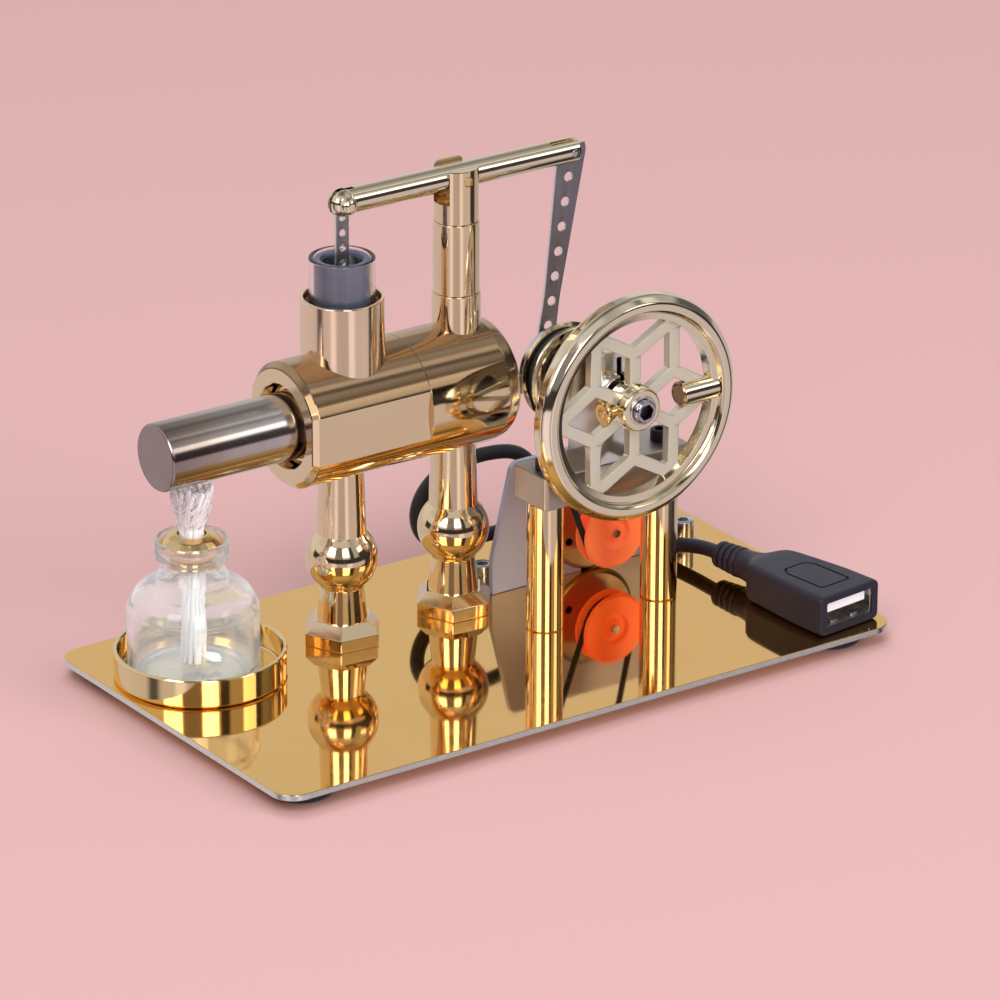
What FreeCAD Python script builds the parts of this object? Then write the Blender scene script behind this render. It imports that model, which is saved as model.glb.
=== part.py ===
import FreeCAD, Part
import math
import os

# Beam-type Stirling engine demonstrator with a belt-driven generator, in millimetres.
# +Z up, +X from the hot end towards the flywheel, +Y to the rear.
# Origin: centre of the base plate's footprint, on the surface it stands on.

V = FreeCAD.Vector
X_AXIS, Y_AXIS, Z_AXIS = V(1, 0, 0), V(0, 1, 0), V(0, 0, 1)
os.makedirs("parts", exist_ok=True)

# ---- driving dimensions; 0 and 1 mark the lower and upper end along an axis ----
FIT, LOOSE_FIT = 0.02, 0.03                # radial clearances

PLATE_LENGTH, PLATE_WIDTH, PLATE_THICK, PLATE_CORNER_R = 171.9, 97.8, 1.5, 6.0
FOOT_R, FOOT_H = 8.0, 3.5
FOOT_X, FOOT_Y = 74.5, 37.5
DECK_Z = FOOT_H + PLATE_THICK              # top of the plate

ENG_Y, ENG_Z = 18.6, DECK_Z + 56.7         # axis of the horizontal cylinder
TUBE_R, TUBE_BORE_R = 8.0, 7.2
TUBE_X0, TUBE_X1 = -76.3, -30.0
BLOCK_R, BLOCK_X0, BLOCK_X1 = 15.0, -42.0, -10.0
BLOCK_FLAT = 13.8                          # side flats, from the cylinder axis
HOUSING_X1 = 16.2
BUSH_R = 3.0
DISPLACER_R, DISPLACER_ROD_R = 6.6, 1.2

BLOCK_LEG_X, HOUSING_LEG_X = -25.8, 5.7
LEG_FLATS, LEG_TOP_FLATS, LEG_TURN = 17.1, 12.6, 234.9    # hexagonal foot of a leg
LEG_BALL_Z, LEG_BALL_R = DECK_Z + 20.7, 8.5
SPIGOT_R = 2.0
SPIGOT_HOLE_R = SPIGOT_R + LOOSE_FIT
TAPPED_R, TAPPED_Z1 = 1.5, DECK_Z + 9      # holes for the screws from below
THREAD_R = 1.45

POWER_X = -25.15                           # axis of the vertical power cylinder
SLEEVE_R, SLEEVE_Z0, SLEEVE_Z1 = 9.8, DECK_Z + 66.6, DECK_Z + 85.2
GLASS_R, GLASS_BORE_R, GLASS_Z1 = 7.7, 6.55, DECK_Z + 94.7
PISTON_R, PISTON_Z0, PISTON_Z1 = 6.5, DECK_Z + 79.3, DECK_Z + 94.3
CUP_R, CUP_Z = 4.9, DECK_Z + 86.0          # recess in the piston's top

PIVOT_X, BEAM_Z = 6.6, DECK_Z + 107.7
BEAM_R, BEAM_BALL_R, BEAM_ARM = 3.05, 3.3, 31.75
BEAM_X0, BEAM_X1 = PIVOT_X - BEAM_ARM, PIVOT_X + BEAM_ARM
POST_LOWER_R, POST_MIDDLE_R, POST_FORK_R = 5.75, 5.45, 5.2
POST_Z1, POST_Z2, POST_TOP_Z = DECK_Z + 79.8, DECK_Z + 97.2, DECK_Z + 112.0
FORK_SLOT, FORK_FLOOR_Z = 6.5, DECK_Z + 102.0

STRAP_T = 0.8
LINK_Y = ENG_Y - STRAP_T / 2               # front face of both short links
PISTON_LINK_LENGTH, PISTON_LINK_W = 18.1, 3.5
PISTON_PIN_Z = BEAM_Z - PISTON_LINK_LENGTH
ROD_Y = 17.2                               # front face of the connecting rod

CRANK_X, CRANK_Z = 33.4, DECK_Z + 55.6     # crankshaft axis, along Y
PIN_X, PIN_Z = 29.6, DECK_Z + 50.9         # crank pin at rest
DISPLACER_LINK_LENGTH = 26.0
FORK_X = PIN_X - math.sqrt(DISPLACER_LINK_LENGTH ** 2 - (ENG_Z - PIN_Z) ** 2)
SHAFT_R = 1.5
SHAFT_HOLE_R = SHAFT_R + FIT

WHEEL_R, WHEEL_INNER_R, WHEEL_Y0, WHEEL_Y1 = 27.6, 21.5, -18.3, -12.3
WEB_Y0, WEB_T = WHEEL_Y0 + 2.8, 2.5
NODE_R, TIP_R, BAR_W = 13.0, 22.2, 3.0     # where the web bars meet and end
WEIGHT_Y, WEIGHT_R = WEB_Y0 + 0.9, 3.0

PULLEY_R, PULLEY_Y0, PULLEY_Y1 = 12.0, 8.8, 13.6
MOTOR_PULLEY_R = 8.9
BELT_Y, BELT_R, BELT_BIG_R, BELT_SMALL_R = 11.2, 1.15, 10.9, 7.7
GROOVE_DEPTH = 1.28                        # from the belt's centre line

GEN_X, GEN_Z, GEN_R = 46.2, DECK_Z + 12.4, 12.15
GEN_Y0, GEN_Y1 = 18.0, 30.3
BRACKET_Y0, BRACKET_Y1 = 19.0, 20.5
BRACKET_BOLTS = [(17.9, 24.2), (73.4, 18.8)]

PILLAR_X, PILLAR_Y, PILLAR_R, PILLAR_H = [16.8, 49.9], -3.0, 4.4, 31.8
BRIDGE_X0, BRIDGE_X1, BRIDGE_Y0, BRIDGE_Y1 = 12.5, 54.2, -9.0, 4.0
BRIDGE_Z0, BRIDGE_Z1 = DECK_Z + PILLAR_H, DECK_Z + PILLAR_H + 8.0
HOUSE_W, HOUSE_Z1, HOUSE_SCREW_Y = 10.4, DECK_Z + 67.6, -2.5
BEARING_R, BEARING_W = 4.0, 3.0
BEARING_Y = (BRIDGE_Y0 + 0.3, BRIDGE_Y1 - 0.3 - BEARING_W)
BASE_SCREWS = [(BLOCK_LEG_X, ENG_Y), (HOUSING_LEG_X, ENG_Y)] + [(x, PILLAR_Y) for x in PILLAR_X]

TRAY_X, TRAY_Y, TRAY_R, TRAY_H = -64.5, 19.6, 20.1, 7.1
BOTTLE_X, BOTTLE_Y, BOTTLE_Z = -66.0, 20.0, DECK_Z + 1.0


# ---- helpers ----
PIECES = []


def piece(build):
    """Register a builder; its name is also the name of the STEP file."""
    PIECES.append(build)
    return build


def cylinder(radius, start, end):
    along = V(*end).sub(V(*start))
    return Part.makeCylinder(radius, along.Length, V(*start), along)


def rod_x(radius, x0, x1, y=ENG_Y, z=ENG_Z):
    return cylinder(radius, (x0, y, z), (x1, y, z))


def rod_y(radius, x, z, y0, y1):
    return cylinder(radius, (x, y0, z), (x, y1, z))


def rod_z(radius, x, y, z0, z1):
    return cylinder(radius, (x, y, z0), (x, y, z1))


def cone(radius0, radius1, start, end):
    along = V(*end).sub(V(*start))
    return Part.makeCone(radius0, radius1, along.Length, V(*start), along)


def box(x0, x1, y0, y1, z0, z1):
    """Box between limits; the two y limits may come in either order."""
    y0, y1 = sorted((y0, y1))
    return Part.makeBox(x1 - x0, y1 - y0, z1 - z0, V(x0, y0, z0))


def fuse(first, *others):
    for other in others:
        first = first.fuse(other)
    return first.removeSplitter()


def cut(shape, *tools):
    for tool in tools:
        shape = shape.cut(tool)
    return shape


def polygon(points):
    corners = [V(*point) for point in points]
    return Part.makePolygon(corners + corners[:1])


def face(points):
    return Part.Face(polygon(points))


def prism(points, along):
    return face(points).extrude(V(*along))


def spin_z(outline, x, y):
    """Turn an outline of (radius, z) points about a vertical axis."""
    return face([(x + r, y, z) for r, z in outline]).revolve(V(x, y, 0), Z_AXIS, 360)


def spin_y(outline, x, z):
    """Turn an outline of (radius, y) points about an axis along Y."""
    return face([(x + r, y, z) for r, y in outline]).revolve(V(x, 0, z), Y_AXIS, 360)


def spin_x(outline, y=ENG_Y, z=ENG_Z):
    """Turn an outline of (x, radius) points about an axis along X."""
    return face([(x, y, z + r) for x, r in outline]).revolve(V(0, y, z), X_AXIS, 360)


def hexagon(x, y, z, across_flats, turn):
    radius = across_flats / math.sqrt(3)
    angles = [math.radians(turn + 60 * k) for k in range(6)]
    return [(x + radius * math.cos(a), y + radius * math.sin(a), z) for a in angles]


def hex_socket(x, y, z, depth):
    """Cutter for the hexagonal recess of a cap screw."""
    return prism(hexagon(x, y, z, across_flats=2.5, turn=10), (0, 0, depth))


def strap(start, end, start_w, waist_w, end_w, y, holes):
    """Flat strap between two (x, z) points, round at both ends.

    holes: (distance from the start, radius)."""
    (x0, z0), (x1, z1) = start, end
    length = math.hypot(x1 - x0, z1 - z0)
    ux, uz = (x1 - x0) / length, (z1 - z0) / length

    def at(along, across):
        return (x0 + ux * along - uz * across, y, z0 + uz * along + ux * across)

    waist = length * 0.62
    edge = [(0, start_w / 2), (waist, waist_w / 2), (length, end_w / 2)]
    outline = edge + [(along, -across) for along, across in reversed(edge)]
    body = fuse(prism([at(*point) for point in outline], (0, STRAP_T, 0)),
                rod_y(start_w / 2, x0, z0, y, y + STRAP_T),
                rod_y(end_w / 2, x1, z1, y, y + STRAP_T))
    for distance, radius in holes:
        x, _, z = at(distance, 0)
        body = body.cut(rod_y(radius, x, z, y - 1, y + STRAP_T + 1))
    return body


def edges_along(shape, axis):
    return [e for e in shape.Edges if abs(e.tangentAt(e.FirstParameter).dot(axis)) > 0.9]


# ---- base ----
@piece
def base_plate():
    plate = box(-PLATE_LENGTH / 2, PLATE_LENGTH / 2, -PLATE_WIDTH / 2, PLATE_WIDTH / 2,
                FOOT_H, DECK_Z)
    plate = plate.makeFillet(PLATE_CORNER_R, edges_along(plate, Z_AXIS))
    holes = [rod_z(1.65, x, y, FOOT_H - 1, DECK_Z + 1) for x, y in BASE_SCREWS + BRACKET_BOLTS]
    return cut(plate, *holes)


@piece
def rubber_feet():
    outline = [(0, 0), (FOOT_R - 1.0, 0), (FOOT_R - 0.3, 0.5), (FOOT_R, FOOT_H), (0, FOOT_H)]
    return Part.makeCompound([spin_z(outline, side_x * FOOT_X, side_y * FOOT_Y)
                              for side_x in (-1, 1) for side_y in (-1, 1)])


@piece
def base_screws():
    """Slotted screws from below: two for the legs, two for the pillars."""
    outline = [(0, FOOT_H - 2.0), (2.2, FOOT_H - 2.0), (2.7, FOOT_H - 1.4), (2.7, FOOT_H),
               (THREAD_R, FOOT_H), (THREAD_R, DECK_Z + 8), (0, DECK_Z + 8)]
    return Part.makeCompound([
        spin_z(outline, x, y).cut(box(x - 3, x + 3, y - 0.35, y + 0.35,
                                      FOOT_H - 2.5, FOOT_H - 1.2))
        for x, y in BASE_SCREWS])


# ---- cylinder legs ----
def leg(x):
    bottom_r, foot_z, cone_z = 5.9, DECK_Z + 3.1, DECK_Z + 5.6
    foot = prism(hexagon(x, ENG_Y, DECK_Z, LEG_FLATS, LEG_TURN), (0, 0, 3.1))
    big = hexagon(x, ENG_Y, foot_z, LEG_FLATS, LEG_TURN)
    small = hexagon(x, ENG_Y, cone_z, LEG_TOP_FLATS, LEG_TURN)
    faces = [face(big), face(small)]
    for k in range(6):
        j = (k + 1) % 6
        faces.append(face([big[k], big[j], small[j], small[k]]))
    shoulder = Part.Solid(Part.makeShell(faces))
    lower = cone(bottom_r, 5.0, (x, ENG_Y, DECK_Z + 5.0), (x, ENG_Y, LEG_BALL_Z - 5))
    ball = Part.makeSphere(LEG_BALL_R, V(x, ENG_Y, LEG_BALL_Z))
    upper = cone(bottom_r + 0.05, 5.2, (x, ENG_Y, LEG_BALL_Z + 3),
                 (x, ENG_Y, ENG_Z - BLOCK_R + 3.2))
    body = fuse(foot, shoulder, lower, ball, upper)
    # saddle under the cylinder, with a spigot up into it
    body = body.cut(rod_x(BLOCK_R, BLOCK_X0, HOUSING_X1))
    body = fuse(body, rod_z(SPIGOT_R, x, ENG_Y, ENG_Z - BLOCK_R - 3, ENG_Z - BLOCK_R + 3.0))
    return body.cut(rod_z(TAPPED_R, x, ENG_Y, DECK_Z - 1, TAPPED_Z1))


@piece
def cooling_block_leg():
    return leg(BLOCK_LEG_X)


@piece
def rear_housing_leg():
    return leg(HOUSING_LEG_X)


# ---- horizontal cylinder ----
def leg_socket(x):
    """Cutter for the hole that takes a leg's spigot."""
    return rod_z(SPIGOT_HOLE_R, x, ENG_Y, ENG_Z - BLOCK_R - 1, ENG_Z - BLOCK_R + 3.3)


@piece
def cooling_block():
    block = spin_x([(BLOCK_X0, 0), (BLOCK_X0, BLOCK_R - 1.3), (BLOCK_X0 + 1.3, BLOCK_R),
                    (BLOCK_X1, BLOCK_R), (BLOCK_X1, 0)])
    for side in (-1, 1):
        y = ENG_Y + side * BLOCK_FLAT
        z = ENG_Z - 16
        block = cut(block,
                    box(BLOCK_X0 - 1, BLOCK_X1 + 1, y, y + side * 3, ENG_Z - 20, ENG_Z + 20),
                    # chamfer at the flat's hot end
                    prism([(BLOCK_X0 - 0.1, y + side * 0.5, z), (BLOCK_X0 + 1.7, y + side * 0.5, z),
                           (BLOCK_X0 - 0.1, y - side * 1.3, z)], (0, 0, 32)))
    return cut(block,
               rod_x(10.0, BLOCK_X0 - 1, -37.0),
               rod_x(TUBE_R + FIT, -37.1, TUBE_X1 + 0.05),
               rod_x(TUBE_BORE_R, TUBE_X1, -13.0),
               rod_x(BUSH_R + LOOSE_FIT, -14, -9),
               rod_z(SLEEVE_R + FIT, POWER_X, ENG_Y, SLEEVE_Z0, SLEEVE_Z1),
               rod_z(2.5, POWER_X, ENG_Y, ENG_Z, SLEEVE_Z0 + 1),
               leg_socket(BLOCK_LEG_X))


@piece
def hot_tube():
    return spin_x([(TUBE_X0, 0), (TUBE_X0, TUBE_R - 0.7), (TUBE_X0 + 0.2, TUBE_R - 0.25),
                   (TUBE_X0 + 0.7, TUBE_R), (TUBE_X1, TUBE_R), (TUBE_X1, TUBE_BORE_R),
                   (TUBE_X0 + 0.8, TUBE_BORE_R), (TUBE_X0 + 0.8, 0)])


@piece
def rear_housing():
    body = spin_x([(BLOCK_X1, 0), (BLOCK_X1, BLOCK_R), (HOUSING_X1 - 3.6, BLOCK_R),
                   (HOUSING_X1 - 1.6, BLOCK_R - 0.6), (HOUSING_X1 - 0.4, BLOCK_R - 1.9),
                   (HOUSING_X1, BLOCK_R - 3.4), (HOUSING_X1, 0)])
    return cut(body,
               rod_x(10.0, -7.0, HOUSING_X1 + 1),
               rod_x(BUSH_R + LOOSE_FIT, -11, -6),
               rod_z(2.5 + LOOSE_FIT, PIVOT_X, ENG_Y, ENG_Z + 11.2, ENG_Z + 20),
               leg_socket(HOUSING_LEG_X))


@piece
def rod_guide_bush():
    return cut(fuse(rod_x(BUSH_R, -12.9, -6.9), rod_x(5.0, -6.95, -5.7)),
               rod_x(1.25, -14, -5))


@piece
def displacer_can():
    return spin_x([(-72.0, 0), (-72.0, 6.3), (-71.6, DISPLACER_R), (-25.4, DISPLACER_R),
                   (-25.4, 6.2), (-71.6, 6.2), (-71.6, 0)])


@piece
def displacer_plug():
    return cut(fuse(rod_x(6.17, -29.5, -25.3), rod_x(DISPLACER_R, -25.4, -24.2)),
               rod_x(DISPLACER_ROD_R + FIT, -28.0, -20))


@piece
def displacer_rod():
    return rod_x(DISPLACER_ROD_R, -27.9, FORK_X - 3.3)


@piece
def displacer_fork():
    body = spin_x([(FORK_X - 6, 0), (FORK_X - 6, 2.2), (FORK_X - 4, 3.0),
                   (FORK_X + 2.6, 3.0), (FORK_X + 2.6, 0)])
    return cut(body,
               box(FORK_X - 3.0, FORK_X + 4, ENG_Y - 0.6, ENG_Y + 0.6, ENG_Z - 5, ENG_Z + 5),
               rod_x(DISPLACER_ROD_R + FIT, FORK_X - 7, FORK_X - 2.9),
               rod_y(0.82, FORK_X, ENG_Z, ENG_Y - 5, ENG_Y + 5))


@piece
def displacer_fork_pin():
    return rod_y(0.8, FORK_X, ENG_Z, ENG_Y - 3.1, ENG_Y + 3.1)


@piece
def displacer_link():
    holes = [(0, 0.86), (6.5, 0.8), (13, 0.8), (19.5, 0.8), (DISPLACER_LINK_LENGTH, 1.02)]
    return strap((FORK_X, ENG_Z), (PIN_X, PIN_Z), start_w=4.0, waist_w=3.2, end_w=4.6,
                 y=LINK_Y, holes=holes)


@piece
def crank_end_screw():
    head_y = LINK_Y + 0.83
    head = spin_y([(0, head_y), (2.0, head_y), (2.0, LINK_Y + 1.6), (1.4, LINK_Y + 2.1),
                   (0, LINK_Y + 2.1)], PIN_X, PIN_Z)
    slot = box(PIN_X - 3, PIN_X + 3, LINK_Y + 1.4, LINK_Y + 3, PIN_Z - 0.3, PIN_Z + 0.3)
    return cut(fuse(rod_y(1.0, PIN_X, PIN_Z, LINK_Y - 0.05, LINK_Y + 1.0), head), slot)


# ---- power cylinder ----
@piece
def power_sleeve():
    bore_r, recess_z = GLASS_R + LOOSE_FIT, SLEEVE_Z1 - 3.2
    return spin_z([(bore_r, SLEEVE_Z0), (SLEEVE_R, SLEEVE_Z0), (SLEEVE_R, SLEEVE_Z1 - 0.25),
                   (SLEEVE_R - 0.25, SLEEVE_Z1), (9.1, SLEEVE_Z1), (8.9, SLEEVE_Z1 - 0.2),
                   (8.9, recess_z), (bore_r, recess_z)], POWER_X, ENG_Y)


@piece
def sleeve_seal_ring():
    bore_r, bottom_z = GLASS_R + LOOSE_FIT, SLEEVE_Z1 - 3.17
    return spin_z([(bore_r, bottom_z), (8.86, bottom_z), (8.86, SLEEVE_Z1 - 1.5),
                   (8.4, SLEEVE_Z1 - 1.1), (bore_r, SLEEVE_Z1 - 1.1)], POWER_X, ENG_Y)


@piece
def glass_cylinder():
    return spin_z([(GLASS_BORE_R, SLEEVE_Z0), (GLASS_R, SLEEVE_Z0), (GLASS_R, GLASS_Z1 - 0.2),
                   (GLASS_R - 0.2, GLASS_Z1), (GLASS_BORE_R + 0.2, GLASS_Z1),
                   (GLASS_BORE_R, GLASS_Z1 - 0.2)], POWER_X, ENG_Y)


@piece
def power_piston():
    return spin_z([(0, PISTON_Z0), (PISTON_R - 0.3, PISTON_Z0), (PISTON_R, PISTON_Z0 + 0.3),
                   (PISTON_R, PISTON_Z1 - 0.3), (PISTON_R - 0.3, PISTON_Z1),
                   (CUP_R + 0.4, PISTON_Z1), (CUP_R, PISTON_Z1 - 0.4), (CUP_R, CUP_Z),
                   (0, CUP_Z)], POWER_X, ENG_Y)


@piece
def piston_yoke():
    yoke = rod_z(3.8, POWER_X, ENG_Y, CUP_Z + 0.02, CUP_Z + 1.0)
    cheek_r = 1.8
    for side in (-1, 1):
        y0, y1 = sorted((ENG_Y + side * 1.0, ENG_Y + side * 2.1))
        yoke = fuse(yoke,
                    box(POWER_X - cheek_r, POWER_X + cheek_r, y0, y1, CUP_Z + 0.5, PISTON_PIN_Z),
                    rod_y(cheek_r, POWER_X, PISTON_PIN_Z, y0, y1))
    return yoke.cut(rod_y(0.72, POWER_X, PISTON_PIN_Z, ENG_Y - 4, ENG_Y + 4))


@piece
def piston_pin():
    return rod_y(0.7, POWER_X, PISTON_PIN_Z, ENG_Y - 2.3, ENG_Y + 2.3)


@piece
def piston_link():
    holes = [(0, 0.86)] + [(3.62 * k, 0.85) for k in (1, 2, 3, 4)]
    return strap((POWER_X, BEAM_Z), (POWER_X, PISTON_PIN_Z), start_w=PISTON_LINK_W,
                 waist_w=PISTON_LINK_W, end_w=PISTON_LINK_W + 0.5, y=LINK_Y,
                 holes=holes + [(PISTON_LINK_LENGTH, 1.35)])


# ---- beam and post ----
@piece
def beam():
    tip_x = BEAM_X1 + 1.4
    body = fuse(rod_x(BEAM_R, BEAM_X0, tip_x, z=BEAM_Z),
                cone(BEAM_R, BEAM_R - 0.8, (tip_x, ENG_Y, BEAM_Z), (BEAM_X1 + 2.2, ENG_Y, BEAM_Z)),
                Part.makeSphere(BEAM_BALL_R, V(BEAM_X0, ENG_Y, BEAM_Z)))
    return cut(body,
               # slots for the piston link and the connecting rod
               box(BEAM_X0 - 5, BEAM_X0 + 3.2, ENG_Y - 0.6, ENG_Y + 0.6, BEAM_Z - 6, BEAM_Z + 6),
               box(BEAM_X1 - 5.7, BEAM_X1 + 6, ROD_Y - 0.2, ROD_Y + STRAP_T + 0.2,
                   BEAM_Z - 7, BEAM_Z + 7),
               rod_y(0.82, BEAM_X0, BEAM_Z, ENG_Y - 6, ENG_Y + 6),
               rod_y(0.82, BEAM_X1, BEAM_Z, ENG_Y - 6, ENG_Y + 6),
               rod_y(1.30, PIVOT_X, BEAM_Z, ENG_Y - 6, ENG_Y + 6),
               # counterbore for the screw head in the ball
               rod_y(2.3, BEAM_X0, BEAM_Z, ENG_Y - 6, ENG_Y - 2.6))


def beam_screw(x, seat_y, end_y, head_r, head_h):
    """Slotted round-head screw along Y: head in front of seat_y, shank back to end_y."""
    shank_r = 0.8
    body = spin_y([(0, seat_y - head_h), (head_r * 0.45, seat_y - head_h),
                   (head_r * 0.8, seat_y - head_h * 0.75), (head_r, seat_y - head_h * 0.35),
                   (head_r, seat_y), (shank_r, seat_y), (shank_r, end_y), (0, end_y)], x, BEAM_Z)
    return body.cut(box(x - head_r, x + head_r, seat_y - head_h - 1, seat_y - head_h * 0.55,
                        BEAM_Z - 0.28, BEAM_Z + 0.28))


@piece
def beam_end_screws():
    return Part.makeCompound([
        beam_screw(BEAM_X0, ENG_Y - 2.62, ENG_Y + 3.0, head_r=2.15, head_h=1.9),
        beam_screw(BEAM_X1, ENG_Y - 3.1, ENG_Y + 2.8, head_r=1.5, head_h=0.5)])


@piece
def beam_pivot_pin():
    return spin_y([(0, ENG_Y - 5.15), (1.0, ENG_Y - 5.15), (1.25, ENG_Y - 4.9),
                   (1.25, ENG_Y + 4.9), (1.0, ENG_Y + 5.15), (0, ENG_Y + 5.15)],
                  PIVOT_X, BEAM_Z)


def post_rod(radius, z0, z1):
    return rod_z(radius, PIVOT_X, ENG_Y, z0, z1)


@piece
def post_lower():
    body = post_rod(POST_LOWER_R, ENG_Z + 11, POST_Z1)
    body = body.cut(rod_x(BLOCK_R, BLOCK_X1 - 5, HOUSING_X1 + 5))
    return fuse(body, post_rod(2.5, ENG_Z + 11.4, POST_Z1 - 2),
                post_rod(SPIGOT_R, POST_Z1 - 1, POST_Z1 + 4))


@piece
def post_middle():
    body = post_rod(POST_MIDDLE_R, POST_Z1, POST_Z2)
    body = body.cut(post_rod(SPIGOT_HOLE_R, POST_Z1 - 1, POST_Z1 + 4.2))
    return fuse(body, post_rod(SPIGOT_R, POST_Z2 - 1, POST_Z2 + 3.0))


@piece
def post_fork():
    body = spin_z([(0, POST_Z2), (POST_FORK_R, POST_Z2), (POST_FORK_R, POST_TOP_Z - 1.6),
                   (POST_FORK_R - 0.7, POST_TOP_Z - 0.6), (POST_FORK_R - 2.0, POST_TOP_Z),
                   (0, POST_TOP_Z)], PIVOT_X, ENG_Y)
    return cut(body, post_rod(SPIGOT_HOLE_R, POST_Z2 - 1, POST_Z2 + 3.1),
               box(PIVOT_X - 8, PIVOT_X + 8, ENG_Y - FORK_SLOT / 2, ENG_Y + FORK_SLOT / 2,
                   FORK_FLOOR_Z, POST_TOP_Z + 2),
               rod_y(1.27, PIVOT_X, BEAM_Z, ENG_Y - 8, ENG_Y + 8))


@piece
def connecting_rod():
    holes = [(0, 0.86)] + [(6.05 * k, 1.15) for k in range(1, 9)] + [(57.47, 1.0)]
    return strap((BEAM_X1, BEAM_Z), (PIN_X, PIN_Z), start_w=8.0, waist_w=4.4, end_w=5.8,
                 y=ROD_Y, holes=holes)


# ---- crankshaft, flywheel, pulley ----
def crank_rod(radius, y0, y1):
    return rod_y(radius, CRANK_X, CRANK_Z, y0, y1)


@piece
def crankshaft():
    return crank_rod(SHAFT_R, -17.4, 16.4)


def web_bar(radius0, angle0, radius1, angle1):
    """Straight bar of the flywheel web between two polar points, angles in degrees."""
    angle0, angle1 = math.radians(angle0), math.radians(angle1)
    x0, z0 = CRANK_X + radius0 * math.cos(angle0), CRANK_Z + radius0 * math.sin(angle0)
    x1, z1 = CRANK_X + radius1 * math.cos(angle1), CRANK_Z + radius1 * math.sin(angle1)
    length = math.hypot(x1 - x0, z1 - z0)
    nx, nz = -(z1 - z0) / length * BAR_W / 2, (x1 - x0) / length * BAR_W / 2
    return prism([(x0 + nx, WEB_Y0, z0 + nz), (x1 + nx, WEB_Y0, z1 + nz),
                  (x1 - nx, WEB_Y0, z1 - nz), (x0 - nx, WEB_Y0, z0 - nz)], (0, WEB_T, 0))


@piece
def flywheel():
    inner, outer, y0, y1 = WHEEL_INNER_R, WHEEL_R, WHEEL_Y0, WHEEL_Y1
    rim = spin_y([(inner, y0 + 1.9), (inner + 1.7, y0 + 1.7), (inner + 1.9, y0 + 0.5),
                  (inner + 2.6, y0), (outer - 1.6, y0), (outer - 0.5, y0 + 0.5),
                  (outer, y0 + 1.7), (outer, y1 - 1.2), (outer - 0.5, y1 - 0.4),
                  (outer - 1.5, y1), (inner + 2.6, y1), (inner + 1.9, y1 - 0.5),
                  (inner + 1.7, y1 - 1.2), (inner, y1 - 1.3)], CRANK_X, CRANK_Z)
    # hub, with six Y-shaped spokes
    web = spin_y([(0, y0), (4.9, y0), (5.2, y0 + 0.3), (5.2, y1 + 1.0), (0, y1 + 1.0)],
                 CRANK_X, CRANK_Z)
    for k in range(6):
        angle = 30 + 60 * k
        web = web.fuse(web_bar(2, angle, NODE_R + 0.6, angle))
        for turn in (30, -30):
            web = web.fuse(web_bar(NODE_R, angle, TIP_R, angle + turn))
    wheel = fuse(rim, web.common(crank_rod(inner + 0.6, y0 - 1, y1 + 2)))
    return cut(wheel,
               crank_rod(SHAFT_HOLE_R, -17.5, -5),
               crank_rod(1.2, -20, -16),
               rod_x(WEIGHT_R + FIT, CRANK_X + 12.7, CRANK_X + 23.1, WEIGHT_Y, CRANK_Z),
               rod_x(1.42, CRANK_X - 6.5, CRANK_X, WEIGHT_Y, CRANK_Z))


@piece
def hub_set_screw():
    """Set screw in the hub, on the side opposite the weight."""
    # distance from the crank axis along X, radius
    outline = [(-8.9, 0), (-8.9, 2.1), (-8.5, 2.6), (-8.0, 2.35), (-6.9, 1.7), (-6.7, 1.4),
               (-1.75, 1.4), (-1.75, 0)]
    return spin_x([(CRANK_X + x, r) for x, r in outline], WEIGHT_Y, CRANK_Z)


@piece
def balance_weight():
    x = CRANK_X
    body = spin_x([(x + 12.8, 0), (x + 12.8, WEIGHT_R - 0.4), (x + 13.2, WEIGHT_R),
                   (x + 23.0, WEIGHT_R), (x + 23.0, 0)], WEIGHT_Y, CRANK_Z)
    recess = [(x + 12, 0), (x + 12, 2.4), (x + 13.0, 2.1), (x + 13.0, 0)]
    return body.cut(spin_x(recess, WEIGHT_Y, CRANK_Z))


@piece
def flywheel_screw():
    seat_y, tip_y = WHEEL_Y0 - 0.02, -17.45
    body = spin_y([(0, WHEEL_Y0 - 1.6), (2.4, WHEEL_Y0 - 1.6), (2.9, WHEEL_Y0 - 1.2),
                   (2.9, seat_y), (1.15, seat_y), (1.15, tip_y), (0, tip_y)], CRANK_X, CRANK_Z)
    angles = [math.radians(60 * k) for k in range(6)]
    socket = [(CRANK_X + 1.85 * math.cos(a), WHEEL_Y0 - 2, CRANK_Z + 1.85 * math.sin(a))
              for a in angles]
    return body.cut(prism(socket, (0, 1.7, 0)))


@piece
def drive_pulley():
    rim, y0, y1 = PULLEY_R, PULLEY_Y0, PULLEY_Y1
    floor_r = BELT_BIG_R - GROOVE_DEPTH
    body = spin_y([(rim - 1.5, y0), (rim - 0.4, y0), (rim, y0 + 0.4), (rim, BELT_Y - 1.75),
                   (BELT_BIG_R - 1.0, BELT_Y - 1.15), (floor_r, BELT_Y - 0.5),
                   (floor_r, BELT_Y + 0.5), (BELT_BIG_R - 1.0, BELT_Y + 1.15),
                   (rim, BELT_Y + 1.75), (rim, y1 - 0.4), (rim - 0.4, y1), (0, y1),
                   (0, y0 - 2.4), (4.2, y0 - 2.4), (4.5, y0 - 2.1), (4.5, y0 + 0.8),
                   (rim - 2.4, y0 + 0.8)], CRANK_X, CRANK_Z)
    return cut(body, crank_rod(SHAFT_HOLE_R, 0, 30))


@piece
def crank_disc():
    body = spin_y([(0, 14.2), (10.2, 14.2), (10.5, 14.5), (10.5, 16.3), (10.2, 16.6),
                   (0, 16.6)], CRANK_X, CRANK_Z)
    return cut(body, crank_rod(SHAFT_HOLE_R, 0, 30), rod_y(1.22, PIN_X, PIN_Z, 14.8, 18))


@piece
def crank_pin():
    return rod_y(1.2, PIN_X, PIN_Z, 14.85, 17.0)


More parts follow.
